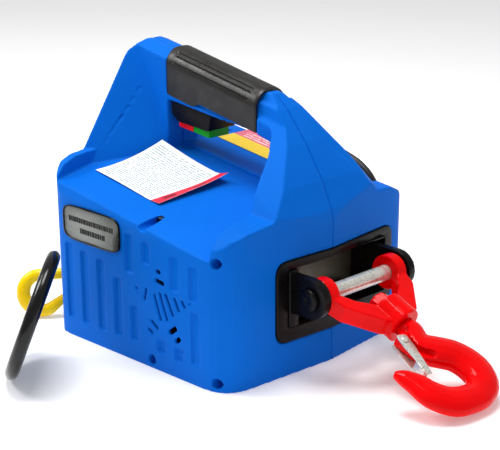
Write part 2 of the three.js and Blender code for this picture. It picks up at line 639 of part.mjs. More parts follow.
// Sheet-metal latch: two cheeks beside the lug, and a web that closes the hook's mouth.
function buildLatch(length, cheek, web) {
  const side = (z) =>
    prismZ(roundedOutline([[-7, -6, 3], [8, -6, 3], [length, -3, 1], [length, 2, 1], [8, 6, 3],
      [-7, 6, 3]], 3), z, z + 1.4);
  const sides = [side(cheek), side(-cheek - 1.4)];
  const plate = box(web, length, -4.5, -3.1, -cheek - 0.5, cheek + 0.5);
  return minus(joined(plate, ...sides), barZ(2.6, -30, 30, 0, 0, 12));
}
const latchGroup = new THREE.Group();
latchGroup.position.set(LATCH_PIVOT.a, LATCH_PIVOT.b, 0);
latchGroup.rotation.z = THREE.MathUtils.degToRad(-13);
forkGroup.add(latchGroup);
add("fixed_hook_latch", buildLatch(46, 5.1, 28), ZINC, latchGroup);
add("latch_rivet", barZ(2.4, -8.5, 8.5, LATCH_PIVOT.a, LATCH_PIVOT.b, 12), ZINC, forkGroup);

// ---------------------------------------------------------------- rope drum and its drive
const drumGroup = new THREE.Group();
drumGroup.position.set(DRUM.x, DRUM.y, DRUM.z);
root.add(drumGroup);
const half = DRUM.half;
add(
  "rope_drum",
  latheY([
    [7.2, -half], [DRUM.flange, -half], [DRUM.flange, -half + DRUM.flangeThickness],
    [DRUM.core, -half + DRUM.flangeThickness],
    [DRUM.core, half - DRUM.flangeThickness], [DRUM.flange, half - DRUM.flangeThickness],
    [DRUM.flange, half], [7.2, half], [7.2, -half],
  ], 32),
  CAST,
  drumGroup,
);
const windHalf = half - DRUM.flangeThickness - GAP;
add(
  "rope_winding",
  latheY([
    [DRUM.core + GAP, -windHalf], [DRUM.winding, -windHalf], [DRUM.winding, windHalf],
    [DRUM.core + GAP, windHalf],
    [DRUM.core + GAP, -windHalf],
  ], 32),
  STEEL,
  drumGroup,
);
const PLATE_FRONT_Y = DRUM.y - half - 8;
const PLATE_REAR_Y = DRUM.y + half + 4;
const DRUM_GEAR_Y = PLATE_REAR_Y + 14;
const IDLER_BIG_Y = PLATE_REAR_Y + 28;
const IDLER_X = DRUM.x - (GEAR_MODULE * (TEETH.drum + TEETH.idlerSmall)) / 2;
const GEARBOX_END_Y = PLATE_REAR_Y + 40;

function buildSidePlate(y, holes) {
  const outline = roundedOutline([
    [-62, 22, 6], [ANCHOR_X - GAP, 22, 6], [ANCHOR_X - GAP, 130, 6], [62, 138, 6], [-40, 138, 6],
    [-62, 120, 6],
  ], 3);
  return minus(prismY(outline, y, y + 4), ...holes.map(([x, z, r]) => barY(r, y - 5, y + 9, x, z, 24)));
}
const RODS = [[-46, 126], [80, 34]];
const rodHoles = RODS.map(([x, z]) => [x, z, 4.1]);
add("side_plate_front", buildSidePlate(PLATE_FRONT_Y, [[DRUM.x, DRUM.z, 11.3], ...rodHoles]), STEEL);
add("side_plate_rear", buildSidePlate(PLATE_REAR_Y,
  [[DRUM.x, DRUM.z, 11.3], [IDLER_X, DRUM.z, 6.3], ...rodHoles]), STEEL);
RODS.forEach(([x, z], i) => add("tie_rod_" + (i + 1),
  barY(4, PLATE_FRONT_Y - 4, PLATE_REAR_Y + 8, x, z, 12), STEEL));

const bearing = (y) => minus(barY(11, y, y + 4, DRUM.x, DRUM.z, 24),
  barY(7.1, y - 1, y + 5, DRUM.x, DRUM.z, 24));
add("drum_bearing_front", bearing(PLATE_FRONT_Y), ZINC);
add("drum_bearing_rear", bearing(PLATE_REAR_Y), ZINC);
// Hollow drum shaft: the motor shaft runs through it.
const drumShaft = minus(
  barY(6.9, PLATE_FRONT_Y - 4, DRUM_GEAR_Y + 8, DRUM.x, DRUM.z, 24),
  barY(4.2, PLATE_FRONT_Y - 9, DRUM_GEAR_Y + 19, DRUM.x, DRUM.z, 16),
);
add("drum_shaft", drumShaft, STEEL);

function addGear(name, teeth, width, bore, x, y, phase, look, boss = 0) {
  const gear = add(name, spurGear(teeth, width, bore, boss), look);
  gear.position.set(x, y, DRUM.z);
  gear.rotation.y = phase;
}
const toothAngle = (teeth) => (2 * Math.PI) / teeth;
addGear("drum_gear", TEETH.drum, 10, 7.1, DRUM.x, DRUM_GEAR_Y, toothAngle(TEETH.drum) / 2, STEEL);
addGear("idler_gear_small", TEETH.idlerSmall, 11, 6.2, IDLER_X, DRUM_GEAR_Y, 0, STEEL);
addGear("idler_gear_big", TEETH.idlerBig, 8, 6.2, IDLER_X, IDLER_BIG_Y, toothAngle(TEETH.idlerBig) / 2,
  STEEL);
add("idler_shaft", barY(6, PLATE_REAR_Y - 2, GEARBOX_END_Y + 8, IDLER_X, DRUM.z, 20), STEEL);
addGear("motor_pinion", TEETH.pinion, 10, 4.2, DRUM.x, IDLER_BIG_Y, 0, STEEL);

function buildGearboxCover() {
  const outline = roundedOutline([[-92, 34, 14], [78, 34, 14], [78, 137, 14], [-92, 137, 14]], 4);
  const inner = roundedOutline([[-88, 38, 12], [74, 38, 12], [74, 133, 12], [-88, 133, 12]], 4);
  const y0 = PLATE_REAR_Y + 4 + GAP;
  const cup = minus(prismY(outline, y0, GEARBOX_END_Y + 4), prismY(inner, y0 - 5, GEARBOX_END_Y));
  const tabs = RODS.map(([x, z]) => barY(6, y0 - 5, y0 + 6, x, z, 12));
  return minus(cup, barY(6.3, 0, 200, IDLER_X, DRUM.z, 20), barY(4.3, 0, 200, DRUM.x, DRUM.z, 16), ...tabs);
}
add("gearbox_cover", buildGearboxCover(), CAST);

// Motor between the vented side and the drum, on the drum's axis.
const MOTOR = { y0: -102, y1: PLATE_FRONT_Y - 6, radius: 43 };
add(
  "motor_housing",
  latheY([
    [30, 0], [MOTOR.radius, 0], [MOTOR.radius, MOTOR.y1 - MOTOR.y0], [6, MOTOR.y1 - MOTOR.y0],
    [6, MOTOR.y1 - MOTOR.y0 - 4], [38, MOTOR.y1 - MOTOR.y0 - 4], [38, 4], [30, 4], [30, 0],
  ], 32).translate(DRUM.x, MOTOR.y0, DRUM.z),
  CAST,
);
add("motor_rotor", minus(barY(28, MOTOR.y0 + 8, MOTOR.y1 - 10, DRUM.x, DRUM.z, 24),
  barY(4.2, -200, 0, DRUM.x, DRUM.z, 16)), COPPER);
add("motor_shaft", barY(4, -125, IDLER_BIG_Y + 12, DRUM.x, DRUM.z, 16), STEEL);
function buildFan() {
  const blade = (k) => box(5, 38, -5, 5, -1, 1).rotateX(0.5).rotateY((2 * Math.PI * k) / 7);
  const blades = [...Array(7).keys()].map(blade);
  return minus(joined(barY(10, -6, 6, 0, 0, 20), ...blades),
    barY(4.2, -20, 20, 0, 0, 16)).translate(DRUM.x, -115, DRUM.z);
}
add("cooling_fan", buildFan(), BLACK_PLASTIC);

// Electrics beside the motor.
add("run_capacitor", barY(16, -118, -58, -58, 40, 20), BLACK_PLASTIC);
add("control_board", box(-112, -36, -124, -58, 68, 70), BOARD);

// ---------------------------------------------------------------- rope end
function buildOutlet() {
  const y0 = OUTLET.y - OUTLET.halfWidth + 0.4;
  const y1 = OUTLET.y + OUTLET.halfWidth - 0.4;
  const z0 = OUTLET.z - OUTLET.halfHeight + 0.4;
  const z1 = OUTLET.z + OUTLET.halfHeight - 0.4;
  const flange = prismX(roundedRectangle(y0 - 6, y1 + 6, z0 - 6, z1 + 6, 6, 4), -HALF_LENGTH - 3.3,
    -HALF_LENGTH - GAP);
  const sleeve = box(-HALF_LENGTH - 2, -HALF_LENGTH + 13, y0, y1, z0, z1);
  const passage = box(-HALF_LENGTH - 20, -HALF_LENGTH + 20, y0 + 5, y1 - 5, z0 + 3, z1 - 3);
  return minus(joined(flange, sleeve), passage);
}
add("rope_outlet", buildOutlet(), BLACK_PLASTIC);
function roller(z) {
  return joined(barY(5, OUTLET.y - 26, OUTLET.y + 26, -114, z, 20),
    barY(2, OUTLET.y - 30, OUTLET.y + 30, -114, z, 12));
}
add("rope_roller_upper", roller(OUTLET.z + 8.2), ZINC);
add("rope_roller_lower", roller(OUTLET.z - 8.2), ZINC);

// Straight stretch of rope inside, from below the drum to the outlet.
const ROPE_EXIT_X = -HALF_LENGTH - 4;
add("rope_run", barX(ROPE.radius, ROPE_EXIT_X + GAP, DRUM.x - 20.5, OUTLET.y, OUTLET.z, 8), STEEL);
const ROPE_TAIL = [
  [ROPE_EXIT_X, 12, 49.5], [-149, 12, 49.5], [-159, 9, 50], [-166, 1, 51], [-169.5, -11, 53],
  [-169, -25, 55.5],
  [-166, -39, 58], [-162, -52, 60.5],
];
add("rope_tail", tube(ROPE_TAIL, ROPE.radius, 8, 18), STEEL);

// Load hook: leans against the casing with its bowl on the standing surface.
const hookAxis = new THREE.Vector3(0.436, 0.671, 0.586).normalize();
const hookNormal = new THREE.Vector3(0.72, -0.66, 0.22).normalize();
hookNormal.addScaledVector(hookAxis, -hookNormal.dot(hookAxis)).normalize();
const hookSide = new THREE.Vector3().crossVectors(hookNormal, hookAxis);
const loadGroup = new THREE.Group();
loadGroup.position.set(-177, -125, 27.5);
loadGroup.quaternion.setFromRotationMatrix(new THREE.Matrix4().makeBasis(hookAxis, hookSide, hookNormal));
root.add(loadGroup);

// Bowl about the origin, shank towards +X, eye at its end.
const LOAD_EYE = 60;
const LOAD_LATCH = { a: 35.5, b: -9.6 };
function buildLoadHook() {
  const stations = [[49.5, 0, 5, 4], [36, 0, 6, 6]];
  for (let k = 0; k <= 8; k += 1) {
    const angle = THREE.MathUtils.degToRad(48 + k * 29);
    const swell = 6.3 + 1.6 * Math.sin((Math.PI * k) / 8);
    stations.push([20 * Math.cos(angle), 20 * Math.sin(angle), swell, swell]);
  }
  stations.push([25, -19, 3, 3]);
  const eye = new THREE.TorusGeometry(9.5, 4, 10, 24).translate(LOAD_EYE, 0, 0);
  const cheeks = [3.5, -5].map((z) => box(32, 39, LOAD_LATCH.b - 2.5, -4, z, z + 1.5));
  const pin = barZ(1, -5, 5, LOAD_LATCH.a, LOAD_LATCH.b, 10);
  return joined(hookBody(stations, 36, 12), eye, pin, ...cheeks);
}
add("load_hook", buildLoadHook(), YELLOW, loadGroup);
const loadLatchGroup = new THREE.Group();
loadLatchGroup.position.set(LOAD_LATCH.a, LOAD_LATCH.b, 0);
loadLatchGroup.rotation.z = THREE.MathUtils.degToRad(221);
loadGroup.add(loadLatchGroup);
function buildLoadLatch() {
  const blade = prismZ(roundedOutline([[-2.5, -2.5, 2], [9, -1.8, 1.2], [9, 1.8, 1.2], [-2.5, 2.5, 2]],
    3), -3.2, 3.2);
  return minus(blade, barZ(1.3, -20, 20, 0, 0, 10));
}
add("load_hook_latch", buildLoadLatch(), ZINC, loadLatchGroup);

// Pressed ferrule and thimble that join the rope to the hook's eye.
const ferruleAxis = new THREE.Vector3(0.36, -0.91, 0.18).normalize();
const ferruleStart = new THREE.Vector3(...ROPE_TAIL[ROPE_TAIL.length - 1]).addScaledVector(ferruleAxis,
  2 * GAP);
function alongFerrule(geometry) {
  const turn = new THREE.Quaternion().setFromUnitVectors(new THREE.Vector3(0, 1, 0), ferruleAxis);
  return geometry.applyQuaternion(turn).translate(ferruleStart.x, ferruleStart.y, ferruleStart.z);
}
add("rope_ferrule", alongFerrule(latheY([[0, 0], [4.2, 0], [5, 2], [5, 15], [4.2, 17], [0, 17]], 16)), ZINC);

// Round stop disc that keeps the hook out of the casing; it stands against the vented side.
const STOP_DISC = { radius: 67, rim: 7 };
function buildStopDisc() {
  const { radius, rim } = STOP_DISC;
  return latheY([
    [0, -5], [14, -5], [20, -3], [radius - 16, -3], [radius - 8, -rim], [radius - 3, -rim * 0.8],
    [radius, -3],
    [radius, 3], [radius - 3, rim * 0.8], [radius - 8, rim], [radius - 16, 3], [20, 3], [14, 7], [0, 7],
  ], 40);
}
const discMesh = add("stop_disc", buildStopDisc(), BLACK_PLASTIC);
discMesh.position.set(-49.5, -229.5, 63.8);
const discAxis = new THREE.Vector3(-0.645, -0.67, 0.366).normalize();
discMesh.quaternion.setFromUnitVectors(new THREE.Vector3(0, 1, 0), discAxis);

// Limit switch and its lever above the rope slot.
add("limit_switch", box(-118, -96, OUTLET.y - 10, OUTLET.y + 10, 84, 100), BLACK_PLASTIC);
function buildLimitLever() {
  const arm = prismY(roundedOutline([[-3, -3, 2], [3, -3, 2], [3, 3, 2], [-1, 12, 1], [-3, 12, 1]], 3),
    -5, 5);
  const foot = prismY(roundedOutline([[-3, 3, 0], [-9, -14, 2], [-5, -14, 2], [3, -1, 0]], 3), -5, 5);
  return minus(joined(arm, foot), barY(1.7, -20, 20, 0, 0, 10)).translate(-97, OUTLET.y, 70);
}
add("limit_lever", buildLimitLever(), STEEL);

// ---------------------------------------------------------------- mains lead
function buildGland() {
  const profile = [
    [CORD.radius + 0.3, -12], [5.9, -12], [5.9, GLAND.boss + GAP], [11, GLAND.boss + GAP],
    [11, GLAND.boss + 6],
    [8.5, GLAND.boss + 8], [6.4, GLAND.end], [CORD.radius + 0.3, GLAND.end], [CORD.radius + 0.3, -12],
  ];
  return placeOnGland(latheY(profile, 20));
}
add("cord_gland", buildGland(), BLACK_RUBBER);

const glandEnd = new THREE.Vector3(GLAND.x, GLAND.y, GLAND.z).addScaledVector(GLAND.direction,
  GLAND.end + GAP);
const CORD_ROUTE = [
  glandEnd.toArray(), [-25, 151.7, 186.4], [-17.5, 155.5, 182.5], [-9, 157.5, 177.5], [2, 158, 172],
    [16.5, 157.5, 167], [31.5, 157, 162],
  [43.5, 157, 155], [52, 157.5, 147], [59, 159, 136], [64, 162, 123], [67, 166, 109], [67.5, 171, 93],
  [66, 177, 77], [63, 184, 61],
  [57.5, 191, 44.5], [50, 199, 29.5], [41, 208, 17.5], [31, 219, 9.5], [20, 231, 6], [8, 242.5, 5],
];
add("power_cord", tube(CORD_ROUTE, CORD.radius, 10, 40), BLACK_RUBBER);
add(
  "cord_coil",
  latheY([
    [CORD.coilInner, 0.2], [CORD.coilOuter, 0.2], [CORD.coilOuter, CORD.coilTop],
    [CORD.coilInner, CORD.coilTop],
    [CORD.coilInner, 0.2],
  ], 32).rotateX(Math.PI / 2).translate(CORD.coilX, CORD.coilY, 0),
  BLACK_RUBBER,
);
const PLUG = { x: CORD.coilX - CORD.coilOuter - 17.5, y0: 160, z: 17.5 };
function buildPlug() {
  const body = latheY([[0, 0], [17, 0], [17.2, 14], [14, 18], [9, 30], [6.5, 40], [0, 40]], 24);
  const prong = (x) => new THREE.CylinderGeometry(2.4, 2.4, 14, 10).translate(x, -5, 0);
  return joined(body, prong(-9.5), prong(9.5)).translate(PLUG.x, PLUG.y0, PLUG.z);
}
add("mains_plug", buildPlug(), BLACK_RUBBER);

export default root;
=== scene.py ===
"""Portable electric wire rope puller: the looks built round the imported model.

Every length is in metres and every place is in the model's own frame: +Z up, +X towards the fork,
-Y towards the vented side, origin under the middle of the casing.
"""
import math

import bmesh
import bpy
from mathutils import Matrix, Vector


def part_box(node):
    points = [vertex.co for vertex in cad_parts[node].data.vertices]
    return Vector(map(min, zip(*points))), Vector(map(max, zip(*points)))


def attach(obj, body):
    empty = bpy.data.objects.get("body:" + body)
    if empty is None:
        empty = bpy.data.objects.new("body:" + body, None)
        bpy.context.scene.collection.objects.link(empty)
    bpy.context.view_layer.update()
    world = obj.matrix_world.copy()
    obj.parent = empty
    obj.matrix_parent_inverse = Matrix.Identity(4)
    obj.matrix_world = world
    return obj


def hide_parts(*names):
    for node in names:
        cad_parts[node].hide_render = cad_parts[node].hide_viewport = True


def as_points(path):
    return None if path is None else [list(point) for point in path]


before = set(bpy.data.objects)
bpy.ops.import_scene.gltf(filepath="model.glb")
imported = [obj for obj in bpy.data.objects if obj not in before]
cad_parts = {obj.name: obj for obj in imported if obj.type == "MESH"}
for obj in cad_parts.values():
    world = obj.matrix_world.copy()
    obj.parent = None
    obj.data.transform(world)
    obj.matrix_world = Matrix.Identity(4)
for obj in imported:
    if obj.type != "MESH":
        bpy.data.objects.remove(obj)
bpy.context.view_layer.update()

MM = 0.001
SEAM_Y = 4 * MM
HANDLE_LEFT = -83 * MM
HANDLE_RIGHT = 49 * MM
HANDLE_FALL = (268 - 295) / (49 + 83)
TOP_TILT = -0.15
FRONT_RISE = 0.21
PANEL_Z = 176 * MM
FORK_TILT = math.radians(25.6)
CAMERA_AZIMUTH = math.radians(44.265)
CAMERA_ELEVATION = math.radians(19.048)
CAMERA_LENS = 99.94
CAMERA_SHIFT = (-0.0392, 0.0845)
CAMERA_PLACE = (1.0031, -0.97685, 0.55169)


# ------------------------------------------------------------------ camera
def make_camera():
    back = Vector((
        math.sin(CAMERA_AZIMUTH) * math.cos(CAMERA_ELEVATION),
        -math.cos(CAMERA_AZIMUTH) * math.cos(CAMERA_ELEVATION),
        math.sin(CAMERA_ELEVATION),
    ))
    data = bpy.data.cameras.new("camera")
    data.lens = CAMERA_LENS
    data.sensor_width = 36
    data.shift_x, data.shift_y = CAMERA_SHIFT
    data.clip_end = 50
    camera = bpy.data.objects.new("camera", data)
    camera.location = CAMERA_PLACE
    camera.rotation_mode = "QUATERNION"
    camera.rotation_quaternion = (-back).to_track_quat("-Z", "Y")
    bpy.context.scene.collection.objects.link(camera)
    bpy.context.scene.camera = camera


make_camera()


# ------------------------------------------------------------------ materials
class Finish:
    """A procedural finish: colour drift, roughness drift, fine grain and a patchy lighter colour on sharp
    edges.
    """

    def __init__(self, name, colour, roughness, metallic=0.0, coat=0.0, shine=0.5):
        self.material = bpy.data.materials.new(name)
        self.material.use_nodes = True
        self.tree = self.material.node_tree
        self.shader = self.tree.nodes["Principled BSDF"]
        self.shader.inputs["Base Color"].default_value = (*colour, 1)
        self.shader.inputs["Roughness"].default_value = roughness
        self.shader.inputs["Metallic"].default_value = metallic
        self.shader.inputs["Coat Weight"].default_value = coat
        self.shader.inputs["Coat Roughness"].default_value = 0.08
        self.shader.inputs["Specular IOR Level"].default_value = shine
        self.colour = self.shader.inputs["Base Color"]
        self.roughness = roughness
        self.paint = colour
        self.coordinates = self.node("ShaderNodeTexCoord").outputs["Object"]
        self.bump_out = None

    def node(self, kind, **values):
        made = self.tree.nodes.new(kind)
        for key, value in values.items():
            setattr(made, key, value)
        return made

    def link(self, source, target):
        self.tree.links.new(source, target)

    def noise(self, scale, detail=3.0, stretch=(1, 1, 1)):
        mapping = self.node("ShaderNodeMapping")
        mapping.inputs["Scale"].default_value = stretch
        self.link(self.coordinates, mapping.inputs["Vector"])
        made = self.node("ShaderNodeTexNoise")
        made.inputs["Scale"].default_value = scale
        made.inputs["Detail"].default_value = detail
        self.link(mapping.outputs["Vector"], made.inputs["Vector"])
        return made.outputs["Fac"]

    def ramp(self, source, low, high, start=0.3, end=0.7):
        made = self.node("ShaderNodeMapRange")
        made.inputs["From Min"].default_value = start
        made.inputs["From Max"].default_value = end
        made.inputs["To Min"].default_value = low
        made.inputs["To Max"].default_value = high
        self.link(source, made.inputs["Value"])
        return made.outputs["Result"]

    def mix(self, factor, first, second):
        made = self.node("ShaderNodeMix", data_type="RGBA")
        self.link(factor, made.inputs["Factor"])
        for value, socket in ((first, made.inputs["A"]), (second, made.inputs["B"])):
            if isinstance(value, tuple):
                socket.default_value = (*value, 1)
            else:
                self.link(value, socket)
        return made.outputs["Result"]

    def drift(self, amount, scale=18.0, stretch=(1, 1, 1)):
        dark = tuple(c * (1 - amount) for c in self.paint)
        light = tuple(min(1.0, c * (1 + amount)) for c in self.paint)
        self.result = self.mix(self.ramp(self.noise(scale, 4, stretch), 0, 1), dark, light)
        self.link(self.result, self.colour)
        return self

    def uneven_gloss(self, amount, scale=45.0, stretch=(1, 1, 1)):
        low, high = max(0.02, self.roughness - amount), min(1.0, self.roughness + amount)
        self.link(self.ramp(self.noise(scale, 5, stretch), low, high), self.shader.inputs["Roughness"])
        return self

    def grain(self, depth, scale, stretch=(1, 1, 1), detail=2.0):
        bump = self.node("ShaderNodeBump")
        bump.inputs["Strength"].default_value = 0.6
        bump.inputs["Distance"].default_value = depth
        self.link(self.noise(scale, detail, stretch), bump.inputs["Height"])
        if self.bump_out:
            self.link(self.bump_out, bump.inputs["Normal"])
        self.bump_out = bump.outputs["Normal"]
        self.link(self.bump_out, self.shader.inputs["Normal"])
        return self

    # Sharp edges, found by pointiness, turn in patches towards a lighter colour.
    def lighter_edges(self, colour, amount=0.5, start=0.54, end=0.62, scale=160.0):
        point = self.node("ShaderNodeNewGeometry").outputs["Pointiness"]
        edge = self.ramp(point, 0, amount, start, end)
        patchy = self.node("ShaderNodeMath", operation="MULTIPLY")
        self.link(edge, patchy.inputs[0])
        self.link(self.ramp(self.noise(scale, 6), 0, 1, 0.42, 0.6), patchy.inputs[1])
        self.result = self.mix(patchy.outputs[0], self.result, colour)
        self.link(self.result, self.colour)
        return self

    def speckle(self, colour, scale=900.0, start=0.68, end=0.72, amount=0.8):
        spots = self.ramp(self.noise(scale, 1), 0, amount, start, end)
        self.result = self.mix(spots, self.result, colour)
        self.link(self.result, self.colour)
        return self


def casing_finish():
    blue = Finish("casing_blue", (0.0008, 0.145, 0.68), 0.5, shine=0.05).drift(0.06, 9).uneven_gloss(0.06, 30)
    blue.speckle((0.02, 0.25, 0.8), 500, 0.7, 0.76, 0.25)
    return blue.grain(0.00012, 2600, detail=3).grain(0.0006, 14).material


def rubber_finish(name, colour, roughness=0.5):
    rubber = Finish(name, colour, roughness, shine=0.45).drift(0.3, 22).uneven_gloss(0.1, 60)
    return rubber.speckle((0.06, 0.05, 0.045), 1500, 0.68, 0.75, 0.3).grain(0.0002, 2200, detail=4).material


def plastic_finish(name, colour, roughness=0.35):
    plastic = Finish(name, colour, roughness, shine=0.14).drift(0.2, 30).uneven_gloss(0.08, 70)
    return plastic.grain(0.0001, 1900, detail=3).material


def enamel_finish(name, colour, edge_colour, roughness=0.2):
    enamel = Finish(name, colour, roughness, coat=0.03, shine=0.1).drift(0.08, 25).uneven_gloss(0.06, 90)
    # Sharp edges of the enamel turn in patches towards a lighter red.
    enamel.lighter_edges(edge_colour, 0.4)
    return enamel.grain(0.0005, 120, detail=2).grain(0.0012, 38, detail=1).material


def metal_finish(name, colour, roughness, stretch=(1, 1, 1), drift=0.12):
    metal = Finish(name, colour, roughness, 1.0).drift(drift, 60, stretch).uneven_gloss(0.1, 160, stretch)
    return metal.grain(0.00008, 900, stretch, 3).material


def zinc_finish():
    zinc = Finish("zinc", (0.82, 0.82, 0.75), 0.25, 0.55).drift(0.1, 90).uneven_gloss(0.1, 220)
    zinc.speckle((0.16, 0.14, 0.1), 420, 0.63, 0.7, 0.7)
    return zinc.grain(0.0002, 500, detail=4).material


def cast_finish():
    cast = Finish("cast_grey", (0.085, 0.09, 0.075), 0.55, 0.4).drift(0.25, 40).uneven_gloss(0.12, 80)
    return cast.grain(0.0006, 700, detail=5).material


def interior_finish():
    plate = Finish("interior_plate", (0.11, 0.11, 0.08), 0.42, 0.5).drift(0.3, 24).uneven_gloss(0.15, 50)
    return plate.grain(0.0003, 500, detail=4).material


def rope_finish():
    wire = Finish("rope_wire", (0.42, 0.42, 0.41), 0.35, 1.0).drift(0.3, 500).uneven_gloss(0.12, 300)
    return wire.grain(0.0001, 2500, detail=2).material


BLUE = casing_finish()
GRIP = rubber_finish("grip_rubber", (0.005, 0.004, 0.003), 0.33)
CORD_RUBBER = rubber_finish("cord_rubber", (0.012, 0.012, 0.012), 0.45)
BLACK = plastic_finish("black_plastic", (0.004, 0.003, 0.003), 0.3)
GLOSS_BLACK = Finish("gloss_black", (0.003, 0.003, 0.003), 0.16, coat=0.1, shine=0.3).drift(0.3, 20)
GLOSS_BLACK = GLOSS_BLACK.uneven_gloss(0.05, 60).grain(0.0012, 55, detail=1)
GLOSS_BLACK = GLOSS_BLACK.grain(0.0002, 700, detail=2).material
RED = enamel_finish("hook_red", (0.9, 0.0005, 0.002), (0.95, 0.05, 0.04), 0.12)
YELLOW = Finish("hook_yellow", (1.0, 0.62, 0.0), 0.25, coat=0.1, shine=0.2).drift(0.18, 24)
YELLOW = YELLOW.uneven_gloss(0.07, 90).grain(0.0006, 110, detail=2).material
ZINC = zinc_finish()
STEEL = metal_finish("steel", (0.34, 0.35, 0.36), 0.35)
DARK_STEEL = metal_finish("dark_steel", (0.05, 0.05, 0.055), 0.4)
CAST = cast_finish()
INTERIOR = interior_finish()
COPPER = metal_finish("copper", (0.5, 0.2, 0.09), 0.4, (1, 8, 1), 0.3)
ROPE = rope_finish()
BUTTON_RED = plastic_finish("button_red", (0.85, 0.006, 0.006), 0.28)
BUTTON_GREEN = plastic_finish("button_green", (0.006, 0.36, 0.012), 0.28)
BOARD = plastic_finish("board", (0.02, 0.16, 0.05), 0.35)


def use(piece, material):
    piece.data.materials.clear()
    piece.data.materials.append(material)
    return piece


# ------------------------------------------------------------------ mesh helpers
def from_bmesh(name, bm, smooth_angle=40.0):
    mesh = bpy.data.meshes.new(name)
    bmesh.ops.recalc_face_normals(bm, faces=bm.faces)
    bm.to_mesh(mesh)
    bm.free()
    piece = bpy.data.objects.new(name, mesh)
    bpy.context.scene.collection.objects.link(piece)
    shade(piece, smooth_angle)
    return piece


def shade(piece, angle=40.0):
    mesh = piece.data
    mesh.shade_smooth()
    mesh.set_sharp_from_angle(angle=math.radians(angle))
    return piece


def copy_of(node, name):
    """A piece that starts from a CAD node's solid, with its flat faces made whole again."""
    bm = bmesh.new()
    bm.from_mesh(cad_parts[node].data)
    bmesh.ops.remove_doubles(bm, verts=bm.verts, dist=0.00002)
    bmesh.ops.dissolve_limit(bm, angle_limit=math.radians(0.6), verts=bm.verts, edges=bm.edges)
    return from_bmesh(name, bm)


def bake_modifiers(piece):
    depsgraph = bpy.context.evaluated_depsgraph_get()
    mesh = bpy.data.meshes.new_from_object(piece.evaluated_get(depsgraph))
    piece.modifiers.clear()
    piece.data = mesh
    return piece


def bevelled(piece, width, segments=3, angle=28.0):
    bevel = piece.modifiers.new("bevel", "BEVEL")
    bevel.width = width
    bevel.segments = segments
    bevel.limit_method = "ANGLE"
    bevel.angle_limit = math.radians(angle)
    bevel.harden_normals = False
    bevel.use_clamp_overlap = True
    bake_modifiers(piece)
    return shade(piece, 35)


def moulded(piece, voxel, rounds, factor=0.5):
    """Rebuilds the piece as one even skin and rounds its edges, as a moulding or a forging has."""
    remesh = piece.modifiers.new("skin", "REMESH")
    remesh.mode = "VOXEL"
    remesh.voxel_size = voxel
    remesh.use_smooth_shade = True
    smooth = piece.modifiers.new("rounding", "SMOOTH")
    smooth.factor = factor
    smooth.iterations = rounds
    bake_modifiers(piece)
    piece.data.shade_smooth()
    return piece


def place(piece, body, material, slot, *nodes):
    use(piece, material)
    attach(piece, body)
    if nodes:
        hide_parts(*nodes)
    return piece


def turned(name, profile, origin, axis, sides=48, closed=False, smooth_angle=35.0):
    """A turned piece: profile is [(radius, height), ...] along axis from origin."""
    turn = Vector((0, 0, 1)).rotation_difference(Vector(axis).normalized())
    bm = bmesh.new()
    rings = []
    for radius, height in profile:
        if radius < 1e-7:
            rings.append([bm.verts.new(Vector(origin) + turn @ Vector((0, 0, height)))])
            continue
        ring = []
        for k in range(sides):
            angle = 2 * math.pi * k / sides
            point = Vector((radius * math.cos(angle), radius * math.sin(angle), height))
            ring.append(bm.verts.new(Vector(origin) + turn @ point))
        rings.append(ring)
    pairs = list(zip(rings, rings[1:]))
    if closed:
        pairs.append((rings[-1], rings[0]))
    for low, high in pairs:
        for k in range(sides):
            j = (k + 1) % sides
            if len(low) == 1 and len(high) == 1:
                break
            if len(low) == 1:
                bm.faces.new((low[0], high[k], high[j]))
            elif len(high) == 1:
                bm.faces.new((low[k], low[j], high[0]))
            else:
                bm.faces.new((low[k], low[j], high[j], high[k]))
    return from_bmesh(name, bm, smooth_angle)


def smooth_line(points, spacing):
    """Evenly spaced points on a smooth line through the given ones."""
    fine = []
    padded = [2 * points[0] - points[1], *points, 2 * points[-1] - points[-2]]
    for p0, p1, p2, p3 in zip(padded, padded[1:], padded[2:], padded[3:]):
        for k in range(24):
            t = k / 24
            fine.append(0.5 * (
                2 * p1 + (p2 - p0) * t + (2 * p0 - 5 * p1 + 4 * p2 - p3) * t * t
                + (3 * p1 - p0 - 3 * p2 + p3) * t * t * t
            ))
    fine.append(points[-1])
    total = sum((b - a).length for a, b in zip(fine, fine[1:]))
    count = max(2, round(total / spacing))
    out, target, walked = [fine[0]], total / count, 0.0
    for a, b in zip(fine, fine[1:]):
        step = (b - a).length
        while step and walked + step >= target - 1e-12 and len(out) < count:
            out.append(a.lerp(b, (target - walked) / step))
            target += total / count
        walked += step
    out.append(fine[-1])
    return out


def line_length(points):
    return sum((b - a).length for a, b in zip(points, points[1:]))


def cord_curve(name, points, radius):
    data = bpy.data.curves.new(name, "CURVE")
    data.dimensions = "3D"
    data.bevel_depth = radius
    data.bevel_resolution = 5
    data.use_fill_caps = True
    spline = data.splines.new("POLY")
    spline.points.add(len(points) - 1)
    for point, spot in zip(spline.points, points):
        point.co = (*spot, 1)
    spline.use_smooth = True
    piece = bpy.data.objects.new(name, data)
    bpy.context.scene.collection.objects.link(piece)
    return piece


